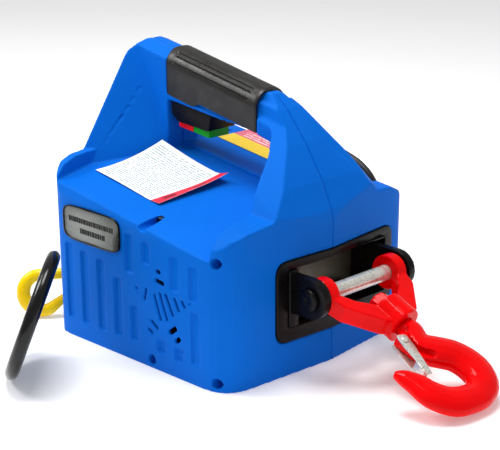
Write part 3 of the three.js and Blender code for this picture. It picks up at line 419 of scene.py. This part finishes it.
def swept(name, points, section, twist=0.0, smooth_angle=60.0):
    """A section [(u, v), ...] carried along a line, turning by twist radians per metre."""
    bm = bmesh.new()
    rings = []
    side = (points[1] - points[0]).orthogonal().normalized()
    walked = 0.0
    for k, spot in enumerate(points):
        ahead = points[min(k + 1, len(points) - 1)]
        behind = points[max(k - 1, 0)]
        tangent = (ahead - behind).normalized()
        side = (side - side.dot(tangent) * tangent).normalized()
        other = tangent.cross(side)
        walked += (spot - behind).length if k else 0.0
        turn = twist * walked
        ring = []
        for u, v in section:
            x = u * math.cos(turn) - v * math.sin(turn)
            y = u * math.sin(turn) + v * math.cos(turn)
            ring.append(bm.verts.new(spot + side * x + other * y))
        rings.append(ring)
    n = len(section)
    for low, high in zip(rings, rings[1:]):
        for k in range(n):
            j = (k + 1) % n
            bm.faces.new((low[k], low[j], high[j], high[k]))
    bm.faces.new(list(reversed(rings[0])))
    bm.faces.new(rings[-1])
    return from_bmesh(name, bm, smooth_angle)


def smoothstep(t):
    t = min(1.0, max(0.0, t))
    return t * t * (3 - 2 * t)


# ------------------------------------------------------------------ cords
GLAND = Vector((-64, 117, 178)) * MM
GLAND_DIRECTION = Vector((0.72, 0.64, 0.17)).normalized()
GLAND_END = 48 * MM
CORD_RADIUS = 4.5 * MM
HANGING_LEAD = [
    (-25, 151.7, 186.4), (-17.5, 155.5, 182), (-9, 157.5, 176), (2, 158, 170), (16.5, 157.5, 165.5),
    (31.5, 157, 161), (43.5, 157, 154.5), (52, 157.5, 147), (59, 159, 136), (64, 162, 123),
    (67, 166, 109), (67.5, 171, 93), (66, 177, 77), (63, 184, 61), (57.5, 191, 44.5),
    (50, 199, 29.5), (41, 208, 17.5), (31, 219, 9.5), (20, 231, 6), (8, 242.5, 5),
]
COIL_CENTRE = Vector((-50, 206, 0)) * MM
COIL_RADII = (59.2 * MM, 49.9 * MM, 40.6 * MM)
COIL_LOW, COIL_HIGH = 4.7 * MM, 13.95 * MM
PLUG = Vector((-131, 160, 17.5)) * MM
PLUG_LENGTH = 40 * MM


def coil_points():
    """Three turns inwards on the floor, then three outwards on top of them."""
    entry = math.radians(36)
    outer, middle, inner = COIL_RADII
    points = []
    for step in range(0, 1908, 8):
        if step < 360:
            radius = outer
        elif step < 720:
            radius = outer + (middle - outer) * smoothstep((step - 360) / 50)
        elif step < 1320:
            radius = middle + (inner - middle) * smoothstep((step - 720) / 50)
        elif step < 1680:
            radius = inner + (middle - inner) * smoothstep((step - 1320) / 50)
        else:
            radius = middle + (outer - middle) * smoothstep((step - 1680) / 50)
        height = COIL_LOW + (COIL_HIGH - COIL_LOW) * smoothstep((step - 1020) / 60)
        angle = entry + math.radians(step)
        if step >= 32:
            points.append(COIL_CENTRE + Vector((radius * math.cos(angle), radius * math.sin(angle), height)))
    return points


def make_mains_lead():
    start = GLAND + GLAND_DIRECTION * (GLAND_END + 0.3 * MM)
    hanging = [start, *(Vector(p) * MM for p in HANGING_LEAD)]
    into_plug = PLUG + Vector((0, PLUG_LENGTH, 0))
    lead_in = [into_plug + Vector((9.5, 24, -2.0)) * MM, into_plug + Vector((3, 11, -0.4)) * MM, into_plug]
    points = smooth_line([*hanging, *coil_points(), *lead_in], 4 * MM)
    lead = cord_curve("mains_lead", points, CORD_RADIUS)
    place(lead, "casing", CORD_RUBBER, "cord_rubber", "power_cord", "cord_coil")
    tie_angle = math.radians(250)
    across = Vector((math.cos(tie_angle), math.sin(tie_angle), 0))
    middle = COIL_CENTRE + across * COIL_RADII[1] + Vector((0, 0, 9.3 * MM))
    loop = []
    for k in range(64):
        angle = 2 * math.pi * k / 64
        c, s = math.cos(angle), math.sin(angle)
        reach = 14.1 * MM * math.copysign(abs(c) ** 0.35, c)
        height = 9.25 * MM * math.copysign(abs(s) ** 0.35, s)
        loop.append(middle + across * reach + Vector((0, 0, height)))
    along = Vector((-across.y, across.x, 0))
    bm = bmesh.new()
    rings = []
    for k, spot in enumerate(loop):
        outward = (spot - middle).normalized() * 0.7 * MM
        ring = [spot - along * 2.4 * MM, spot + along * 2.4 * MM]
        ring += [ring[1] + outward, ring[0] + outward]
        rings.append([bm.verts.new(p) for p in ring])
    for k, ring in enumerate(rings):
        after = rings[(k + 1) % len(rings)]
        for j in range(4):
            bm.faces.new((ring[j], ring[(j + 1) % 4], after[(j + 1) % 4], after[j]))
    tie = from_bmesh("cord_tie", bm)
    place(tie, "casing", BLACK, "black_plastic")
    return lead, tie, points


def make_plug():
    profile = [(0, 0), (15.5, 0), (17, 1.2), (17.2, 6), (17.0, 13)]
    profile += [(14.2, 17.5), (11.5, 22), (9.6, 27), (8.6, 30)]
    for k in range(4):
        base = 30 + 2.4 * k
        profile += [(8.2 - 0.4 * k, base), (8.2 - 0.4 * k, base + 1.5)]
        profile += [(6.6 - 0.3 * k, base + 1.6), (6.6 - 0.3 * k, base + 2.3)]
    profile += [(5.2, 40), (0, 40)]
    body = turned("plug_body", [(r * MM, h * MM) for r, h in profile], PLUG, (0, 1, 0), 56)
    for k in range(2):
        root = PLUG + Vector(((2 * k - 1) * 9.5 * MM, 0, 0))
        prong = [(0, -12), (1.7, -12), (2.4, -10.6), (2.4, 0), (0, 0)]
        pin = turned(f"plug_pin_{k + 1}", [(r * MM, h * MM) for r, h in prong], root, (0, 1, 0), 24)
        place(pin, "casing", ZINC, "zinc")
    place(body, "casing", CORD_RUBBER, "cord_rubber", "mains_plug")


make_plug()
mains_lead, cord_tie, lead_points = make_mains_lead()


def make_gland():
    bore = 4.8
    profile = [(bore, -12), (5.9, -12), (5.9, 12.3), (10.4, 12.3)]
    profile += [(11, 13), (11, 17.4), (10.2, 18.4), (8.6, 19.6)]
    for k in range(8):
        base = 20.5 + 3.2 * k
        wide = 8.6 - 0.27 * k
        profile += [(wide, base), (wide, base + 1.9), (wide - 1.5, base + 2.1), (wide - 1.5, base + 3.0)]
    profile += [(6.4, 47), (6.1, 48), (bore, 48)]
    outline = [(r * MM, h * MM) for r, h in profile]
    gland = turned("strain_relief", outline, GLAND, GLAND_DIRECTION, 48, closed=True)
    return place(gland, "casing", CORD_RUBBER, "cord_rubber", "cord_gland")


gland = make_gland()
tuple(lead_points[0])
round(line_length(lead_points), 3)

ROPE_RADIUS = 2.5 * MM
ROPE_TAIL = [
    (-139, 12, 49.5), (-149, 12, 49.5), (-159, 9, 50), (-166, 1, 51), (-169.5, -11, 53), (-169, -25, 55.5),
    (-166, -39, 58), (-162, -52, 60.5),
]


def strand_section(radius, strands=6, per_strand=8):
    """Outline of a wire rope: round strands laid side by side about the core."""
    strand = radius / 3
    section = []
    for k in range(strands):
        middle = 2 * math.pi * k / strands
        for j in range(per_strand):
            angle = middle + math.pi * (j / (per_strand - 1) - 0.5) * 1.25
            u = 2 * strand * math.cos(middle) + strand * math.cos(angle)
            v = 2 * strand * math.sin(middle) + strand * math.sin(angle)
            section.append((u, v))
    return section


def make_rope():
    outer = smooth_line([Vector(p) * MM for p in ROPE_TAIL], 1.2 * MM)
    tail = swept("rope_free_end", outer, strand_section(ROPE_RADIUS), 2 * math.pi / 0.03, 30)
    place(tail, "rope_end", ROPE, "rope_wire", "rope_tail")
    low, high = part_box("rope_run")
    middle = (low + high) / 2
    inner = [Vector((high.x - (high.x - low.x) * k / 90, middle.y, middle.z)) for k in range(91)]
    run = swept("rope_inside", inner, strand_section(ROPE_RADIUS), 2 * math.pi / 0.03, 30)
    place(run, "rope_end", ROPE, "rope_wire", "rope_run")
    return tail, outer


rope_free_end, rope_points = make_rope()
# ------------------------------------------------------------------ casing
def make_casing():
    for node, name in (("front_shell", "shell_front"), ("rear_shell", "shell_rear")):
        shell = copy_of(node, name)
        moulded(shell, 1.2 * MM, 4)
        place(shell, "casing", BLUE, "casing_blue", node)


make_casing()


def screw(name, node):
    low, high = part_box(node)
    x, z = (low.x + high.x) / 2, (low.z + high.z) / 2
    profile = [(0, 3.0), (1.9, 3.0), (2.1, 0.0), (3.6, 0.1), (4.5, 0.9), (4.7, 2.0), (4.7, 5.0), (2.1, 5.2)]
    length = (high.y - low.y) / MM
    profile += [(2.1, length - 3), (0.6, length), (0, length)]
    piece = turned(name, [(r * MM, h * MM) for r, h in profile], (x, low.y, z), (0, 1, 0), 32)
    return place(piece, "casing", DARK_STEEL, "steel", node)


for number in range(1, 5):
    screw(f"screw_{number}", f"shell_screw_{number}")


# ------------------------------------------------------------------ handle grip and switch
def grip_floor(x):
    """Height of the grip's lower edge on its sides; it steps up past the switch."""
    along = x - HANDLE_LEFT
    deep = 247 * MM + HANDLE_FALL * along
    shallow = 253.5 * MM + HANDLE_FALL * along
    return deep + (shallow - deep) * smoothstep((x + 46 * MM) / (16 * MM))


def make_grip():
    half, corner, skin = 22.6 * MM, 19 * MM, 3.2 * MM
    stations, around = 170, 52
    bm = bmesh.new()
    rows = []
    for i in range(stations + 1):
        x = HANDLE_LEFT + (HANDLE_RIGHT - HANDLE_LEFT) * i / stations
        top = 295.6 * MM + HANDLE_FALL * (x - HANDLE_LEFT)
        end = min(i, stations - i) / 3
        tuck = 0.7 * MM * (1 - smoothstep(end))
        floor = grip_floor(x)
        outline = []
        for side in (-1, 1):
            flat = [(half, floor + (top - corner - floor) * k / 12) for k in range(13)]
            arc = []
            for k in range(1, around + 1):
                angle = math.pi / 2 * k / around
                across = half - corner + corner * math.cos(angle)
                arc.append((across, top - corner + corner * math.sin(angle)))
            wall = [(side * y, z) for y, z in flat + arc]
            outline.append(wall)
        profile = outline[0] + [(y, z) for y, z in reversed(outline[1])]
        row = []
        count = len(profile)
        for k, (y, z) in enumerate(profile):
            before, after = profile[max(k - 1, 0)], profile[min(k + 1, count - 1)]
            along = Vector((after[0] - before[0], after[1] - before[1])).normalized()
            normal = Vector((-along.y, along.x))
            share = min(k, count - 1 - k)
            groove = 0.0
            for centre in (24, 37, 46):
                groove += 1.3 * MM * math.exp(-((share - centre) / 1.3) ** 4)
            from_left = smoothstep((x - HANDLE_LEFT - 9 * MM) / (3 * MM))
            from_right = smoothstep((HANDLE_RIGHT - 10 * MM - x) / (3 * MM))
            reach = from_left * from_right
            inset = tuck + groove * reach
            row.append(Vector((x, SEAM_Y + y - normal.x * inset, z - normal.y * inset)))
        rows.append(row)
    outer = [[bm.verts.new(p) for p in row] for row in rows]
    inner = []
    for row in rows:
        count = len(row)
        ring = []
        for k, p in enumerate(row):
            before, after = row[max(k - 1, 0)], row[min(k + 1, count - 1)]
            along = (after - before).normalized()
            ring.append(bm.verts.new(p + Vector((0, along.z, -along.y)) * skin * 0.8))
        inner.append(ring)
    for sheet in (outer, inner):
        for low, high in zip(sheet, sheet[1:]):
            for a, b, c, d in zip(low, low[1:], high[1:], high):
                bm.faces.new((a, b, c, d))
    for i in range(stations):
        for k in (0, -1):
            bm.faces.new((outer[i][k], outer[i + 1][k], inner[i + 1][k], inner[i][k]))
    for i in (0, -1):
        for k in range(len(outer[0]) - 1):
            bm.faces.new((outer[i][k], outer[i][k + 1], inner[i][k + 1], inner[i][k]))
    grip = from_bmesh("grip", bm, 50)
    return place(grip, "casing", GRIP, "grip_rubber", "handle_grip")


make_grip()


def softened(node, name, body, material, slot, width, segments=3):
    piece = bevelled(copy_of(node, name), width, segments)
    return place(piece, body, material, slot, node)


softened("switch_housing", "switch_body", "casing", BLACK, "black_plastic", 0.9 * MM)
softened("reverse_button", "button_reverse", "reverse_button", BUTTON_RED, "button_red", 1.1 * MM, 4)
softened("forward_button", "button_forward", "forward_button", BUTTON_GREEN, "button_green", 1.1 * MM, 4)

# ------------------------------------------------------------------ hook end
softened("mouth_bezel", "bezel", "casing", BLACK, "black_plastic", 1.2 * MM, 4)
softened("anchor_ear_front", "ear_front", "casing", BLACK, "gloss_black", 1.0 * MM)
softened("anchor_ear_rear", "ear_rear", "casing", BLACK, "gloss_black", 1.0 * MM)
softened("anchor_plate", "anchor_back", "casing", INTERIOR, "cast_grey", 1.0 * MM)
softened("pin_nut", "nut_of_pin", "casing", BLACK, "black_plastic", 0.8 * MM)


def forged(node, name, body, material, slot, voxel, rounds):
    piece = moulded(copy_of(node, name), voxel, rounds)
    return place(piece, body, material, slot, node)


forged("hook_fork", "fork", "fork", RED, "hook_red", 0.8 * MM, 12)
forged("fixed_hook", "hook", "fixed_hook", RED, "hook_red", 0.8 * MM, 24)
softened("swivel_nut", "nut_of_swivel", "fixed_hook", RED, "hook_red", 1.2 * MM)
softened("fixed_hook_latch", "latch", "fixed_latch", ZINC, "zinc", 0.3 * MM, 2)


def box_mesh(name, low, high):
    bm = bmesh.new()
    size, middle = Vector(high) - Vector(low), (Vector(high) + Vector(low)) / 2
    bmesh.ops.create_cube(bm, size=1, matrix=Matrix.Translation(middle) @ Matrix.Diagonal((*size, 1)))
    return from_bmesh(name, bm)


def make_mouth_liner():
    """Black lining between the bezel and the anchor plate, with an upright rib on each side."""
    x0, x1 = 100.5, 130
    y0, y1, z0, z1 = -57.4, 92.4, 50.6, 111.4
    bars = [
        ((x0, y0, z0), (x1, y0 + 1.4, z1)), ((x0, y1 - 1.4, z0), (x1, y1, z1)),
        ((x0, y0, z0), (x1, y1, z0 + 1.4)), ((x0, y0, z1 - 1.4), (x1, y1, z1)),
    ]
    for k, (low, high) in enumerate(bars):
        piece = bevelled(box_mesh(f"mouth_liner_{k + 1}", Vector(low) * MM, Vector(high) * MM), 0.3 * MM, 2)
        place(piece, "casing", BLACK, "black_plastic")
    bumper = box_mesh("bumper_block", Vector((100.5, -38, 52.5)) * MM, Vector((121, 64, 66)) * MM)
    place(bevelled(bumper, 3 * MM, 4), "casing", BLACK, "black_plastic")
    cheek = box_mesh("mouth_cheek", Vector((101, -57, 51.5)) * MM, Vector((134.5, -44, 110.5)) * MM)
    place(bevelled(cheek, 1.5 * MM, 3), "casing", BLACK, "black_plastic")


make_mouth_liner()


def make_pin():
    low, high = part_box("hook_pin")
    x, z = (low.x + high.x) / 2, (low.z + high.z) / 2
    length = (high.y - low.y) / MM
    shaft = [(0, 2.6), (8, 2.6), (8, length - 1.2), (6.8, length), (0, length)]
    pin = turned("pin", [(r * MM, h * MM) for r, h in shaft], (x, low.y, z), (0, 1, 0), 48)
    place(pin, "casing", ZINC, "zinc", "hook_pin")
    head = [(0, 0.9), (2.6, 0.9), (3.2, 0.3), (8.6, 0), (10.4, 0.7), (11, 1.8), (11, 3.6), (0, 3.6)]
    cap = turned("pin_head", [(r * MM, h * MM) for r, h in head], (x, low.y, z), (0, 1, 0), 48)
    place(cap, "casing", BLACK, "zinc")


make_pin()


def make_rivet():
    low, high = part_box("latch_rivet")
    middle = (low + high) / 2
    normal = Vector((math.sin(FORK_TILT), 0, math.cos(FORK_TILT)))
    half = 8.5
    head = [(0, -half), (2.6, -half), (3.6, -half + 0.5), (3.9, -half + 1.4), (2.4, -half + 1.5)]
    profile = head + [(r, -h) for r, h in reversed(head)]
    rivet = turned("rivet", [(r * MM, h * MM) for r, h in profile], middle, normal, 32)
    return place(rivet, "fixed_hook", ZINC, "zinc", "latch_rivet")


make_rivet()


# ------------------------------------------------------------------ rope end
forged("load_hook", "rope_hook", "rope_end", YELLOW, "hook_yellow", 0.6 * MM, 16)
softened("load_hook_latch", "rope_hook_latch", "load_latch", ZINC, "zinc", 0.3 * MM, 2)
rope_end_ferrule = softened("rope_ferrule", "ferrule", "rope_end", ZINC, "zinc", 0.5 * MM)
softened("rope_outlet", "outlet", "casing", BLACK, "black_plastic", 0.8 * MM)

DISC_CENTRE = Vector((-49.5, -229.5, 63.8)) * MM
DISC_AXIS = Vector((-0.645, -0.67, 0.366)).normalized()


def make_stop_disc():
    radius, rim = 67, 7
    profile = [(0, -5), (12, -5), (14.5, -4.4), (20, -3), (44, -2.8), (51, -3.2)]
    for k in range(19):
        angle = -math.pi / 2 + math.pi * k / 18
        profile.append((radius - 8 + 8 * math.cos(angle), rim * math.sin(angle)))
    profile += [(51, 3.2), (44, 2.8), (20, 3), (15.5, 5.6), (13, 6.9), (0, 7)]
    outline = [(r * MM, h * MM) for r, h in profile]
    disc = turned("disc", outline, DISC_CENTRE, DISC_AXIS, 120, smooth_angle=45)
    return place(disc, "rope_end", GLOSS_BLACK, "gloss_black", "stop_disc")


make_stop_disc()

tuple(rope_points[0])
round(line_length(rope_points), 3)
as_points(rope_points)


# ------------------------------------------------------------------ plates and labels
def plate_finish():
    plate = Finish("nameplate_metal", (0.16, 0.17, 0.16), 0.28, 0.85).drift(0.25, 16)
    plate = plate.uneven_gloss(0.12, 300, (12, 1, 1))
    return plate.grain(0.00006, 1400, (20, 1, 1), 2).material


def flat_print(name, paper, inks):
    """Paper with printed bars: inks are (colour, u0, u1, v0, v1, rows, ragged) in the sheet's own measure."""
    print_finish = Finish(name, paper, 0.55)
    print_finish.drift(0.02, 40)
    uv = print_finish.node("ShaderNodeUVMap").outputs["UV"]
    split = print_finish.node("ShaderNodeSeparateXYZ")
    print_finish.link(uv, split.inputs["Vector"])

    def between(source, low, high):
        above = print_finish.node("ShaderNodeMath", operation="GREATER_THAN")
        above.inputs[1].default_value = low
        print_finish.link(source, above.inputs[0])
        below = print_finish.node("ShaderNodeMath", operation="LESS_THAN")
        below.inputs[1].default_value = high
        print_finish.link(source, below.inputs[0])
        return product(above.outputs[0], below.outputs[0])

    def product(first, second):
        both = print_finish.node("ShaderNodeMath", operation="MULTIPLY")
        print_finish.link(first, both.inputs[0])
        print_finish.link(second, both.inputs[1])
        return both.outputs[0]

    for colour, u0, u1, v0, v1, rows, ragged in inks:
        area = product(between(split.outputs["X"], u0, u1), between(split.outputs["Y"], v0, v1))
        if rows:
            scaled = print_finish.node("ShaderNodeMath", operation="MULTIPLY")
            scaled.inputs[1].default_value = rows / (v1 - v0)
            print_finish.link(split.outputs["Y"], scaled.inputs[0])
            phase = print_finish.node("ShaderNodeMath", operation="FRACT")
            print_finish.link(scaled.outputs[0], phase.inputs[0])
            area = product(area, between(phase.outputs[0], 0.3, 0.72))
            words = print_finish.node("ShaderNodeTexNoise")
            words.inputs["Scale"].default_value = 1.0
            words.inputs["Detail"].default_value = 1.0
            stretch = print_finish.node("ShaderNodeMapping")
            stretch.inputs["Scale"].default_value = (ragged, rows / (v1 - v0) * 1.7, 1)
            print_finish.link(uv, stretch.inputs["Vector"])
            print_finish.link(stretch.outputs["Vector"], words.inputs["Vector"])
            area = product(area, print_finish.ramp(words.outputs["Fac"], 0, 1, 0.44, 0.47))
        print_finish.result = print_finish.mix(area, print_finish.result, colour)
    print_finish.link(print_finish.result, print_finish.colour)
    return print_finish.grain(0.00008, 1200, detail=3).material


def sheet_piece(name, height, corners, thickness=0.25 * MM, nu=60, nv=44):
    """A thin sheet over a grid.

    The corners are (x, y) at (0, 0), (1, 0), (1, 1) and (0, 1); height(u, v, x, y) is its z.
    """
    bm = bmesh.new()
    layer = bm.loops.layers.uv.new("UVMap")
    grid = []
    for j in range(nv + 1):
        row = []
        for i in range(nu + 1):
            u, v = i / nu, j / nv
            low = corners[0].lerp(corners[1], u)
            high = corners[3].lerp(corners[2], u)
            spot = low.lerp(high, v)
            row.append(bm.verts.new((spot.x, spot.y, height(u, v, spot.x, spot.y))))
        grid.append(row)
    for j in range(nv):
        for i in range(nu):
            face = bm.faces.new((grid[j][i], grid[j][i + 1], grid[j + 1][i + 1], grid[j + 1][i]))
            uvs = ((i, j), (i + 1, j), (i + 1, j + 1), (i, j + 1))
            for loop, (a, b) in zip(face.loops, uvs):
                loop[layer].uv = (a / nu, b / nv)
    sheet = from_bmesh(name, bm, 60)
    solid = sheet.modifiers.new("thickness", "SOLIDIFY")
    solid.thickness = thickness
    solid.offset = 1
    return bake_modifiers(sheet)


def front_panel(x, y):
    return PANEL_Z + TOP_TILT * (x - 5 * MM) + FRONT_RISE * (y - SEAM_Y)


def rear_panel(x):
    return PANEL_Z + 3 * MM + TOP_TILT * (x - 5 * MM)


def make_label():
    corners = [Vector(p) * MM for p in ((-110, -96), (-7, -99), (15, -23), (-84, -25))]

    def height(u, v, x, y):
        corner_lift = 13 * MM * max(0.0, 1.15 * v + 0.55 * (1 - u) - 0.7) ** 2
        end_curl = 7 * MM * max(0.0, (u - 0.8) / 0.2) ** 1.6 * (0.25 + 0.75 * v)
        wave = 0.5 * MM * (1 + math.sin(5 * u + 2.2 * v))
        return front_panel(x, y) + 0.8 * MM + corner_lift + end_curl + wave

    label = sheet_piece("label", height, corners, nu=90, nv=60)
    ink = (0.22, 0.32, 0.34)
    inks = [
        ((0.85, 0.01, 0.04), 0.875, 1.0, 0.0, 1.0, 0, 0),
        ((0.2, 0.0, 0.01), 0.905, 0.965, 0.08, 0.92, 2, 9),
        (ink, 0.04, 0.83, 0.05, 0.95, 24, 40),
    ]
    printed = flat_print("label_print", (0.9, 0.91, 0.9), inks)
    return place(label, "casing", printed, "paper", "instruction_label")


def make_sticker():
    corners = [Vector(p) * MM for p in ((-72, 45), (40, 45), (40, 92), (-72, 92))]
    sticker = sheet_piece("sticker", lambda u, v, x, y: rear_panel(x) + 0.5 * MM, corners, 0.2 * MM)
    inks = [
        ((0.85, 0.55, 0.02), 0.1, 0.9, 0.08, 0.44, 4, 30),
        ((0.8, 0.16, 0.22), 0.0, 1.0, 0.52, 1.0, 0, 0),
        ((0.95, 0.8, 0.82), 0.08, 0.92, 0.58, 0.92, 3, 22),
    ]
    printed = flat_print("sticker_print", (0.95, 0.66, 0.04), inks)
    return place(sticker, "casing", printed, "sticker", "warning_sticker")


def make_nameplate():
    low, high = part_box("nameplate")
    piece = bevelled(copy_of("nameplate", "plate"), 0.25 * MM, 2)
    place(piece, "casing", plate_finish(), "plate_metal", "nameplate")
    middle = (low + high) / 2
    rim = []
    for k in range(80):
        angle = 2 * math.pi * k / 80
        c, s = math.cos(angle), math.sin(angle)
        x = (high.x - low.x) / 2 * math.copysign(abs(c) ** 0.32, c)
        z = (high.z - low.z) / 2 * math.copysign(abs(s) ** 0.42, s)
        rim.append(Vector((middle.x + x, low.y - 0.1 * MM, middle.z + z)))
    bm = bmesh.new()
    rings = []
    for spot in rim:
        outward = Vector((spot.x - middle.x, 0, spot.z - middle.z)).normalized()
        section = [(-1.0, 0.6), (-1.0, -0.2), (-0.2, -0.7), (1.0, -0.3), (1.0, 0.9)]
        ring = [bm.verts.new(spot + outward * a * MM + Vector((0, b * MM, 0))) for a, b in section]
        rings.append(ring)
    for k, ring in enumerate(rings):
        after = rings[(k + 1) % len(rings)]
        for j in range(len(ring)):
            n = (j + 1) % len(ring)
            bm.faces.new((ring[j], ring[n], after[n], after[j]))
    place(from_bmesh("plate_rim", bm), "casing", BLACK, "black_plastic")
    for row, (start, end, height, size) in enumerate(((0.1, 0.88, 0.62, 5.4), (0.3, 0.72, 0.32, 5.4))):
        bm = bmesh.new()
        x = low.x + (high.x - low.x) * start
        index = 0
        while x < low.x + (high.x - low.x) * end:
            width = (3.1, 1.9, 4.2, 2.5)[(index + row) % 4] * MM
            z = low.z + (high.z - low.z) * height
            middle_of_bar = Matrix.Translation((x + width / 2, low.y - 0.12 * MM, z))
            bar = middle_of_bar @ Matrix.Diagonal((width, 0.3 * MM, size * MM, 1))
            bmesh.ops.create_cube(bm, size=1, matrix=bar)
            x += width + 1.1 * MM
            index += 1
        bars = from_bmesh(f"plate_print_{row + 1}", bm)
        place(bevelled(bars, 0.1 * MM, 1), "casing", BLACK, "black_plastic")


make_label()
make_sticker()
make_nameplate()

# ------------------------------------------------------------------ CAD nodes that stay
KEPT = {
    "rope_drum": CAST, "rope_winding": ROPE, "side_plate_front": STEEL, "side_plate_rear": STEEL,
    "tie_rod_1": STEEL, "tie_rod_2": STEEL, "drum_bearing_front": STEEL, "drum_bearing_rear": STEEL,
    "drum_shaft": STEEL, "drum_gear": STEEL, "idler_gear_small": STEEL, "idler_gear_big": STEEL,
    "idler_shaft": STEEL, "motor_pinion": STEEL, "gearbox_cover": CAST, "motor_housing": CAST,
    "motor_rotor": COPPER, "motor_shaft": STEEL, "cooling_fan": BLACK, "run_capacitor": BLACK,
    "control_board": BOARD, "rope_roller_upper": ZINC, "rope_roller_lower": ZINC, "limit_switch": BLACK,
    "limit_lever": STEEL,
}
for node_name, node_material in KEPT.items():
    use(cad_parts[node_name], node_material)


# ------------------------------------------------------------------ studio
def make_studio():
    bm = bmesh.new()
    bmesh.ops.create_grid(bm, x_segments=2, y_segments=2, size=6)
    floor = from_bmesh("floor", bm)
    ground = Finish("floor_paint", (0.93, 0.93, 0.93), 0.75, shine=0.1).drift(0.01, 3).uneven_gloss(0.05, 8)
    ground.shader.inputs["Emission Color"].default_value = (1, 1, 1, 1)
    ground.shader.inputs["Emission Strength"].default_value = 0.22
    use(floor, ground.material)
    world = bpy.data.worlds.new("studio")
    bpy.context.scene.world = world
    world.use_nodes = True
    backdrop = world.node_tree.nodes["Background"]
    backdrop.inputs["Color"].default_value = (1, 1, 1, 1)
    backdrop.inputs["Strength"].default_value = 0.42
    lights = [
        ("key", (-1.3, -0.9, 1.5), 0.7, 19),
        ("top", (-0.1, -0.1, 2.1), 0.9, 31),
        ("fill", (1.8, -0.9, 0.6), 0.7, 0.3),
    ]
    for name, place_at, size, power in lights:
        data = bpy.data.lights.new(name, "AREA")
        data.shape = "SQUARE"
        data.size = size
        data.energy = power
        light = bpy.data.objects.new(name, data)
        light.location = place_at
        light.rotation_mode = "QUATERNION"
        aim = Vector((0, 0, 0.1)) - Vector(place_at)
        light.rotation_quaternion = aim.to_track_quat("-Z", "Y")
        bpy.context.scene.collection.objects.link(light)
    bpy.context.scene.view_settings.view_transform = "Standard"


make_studio()
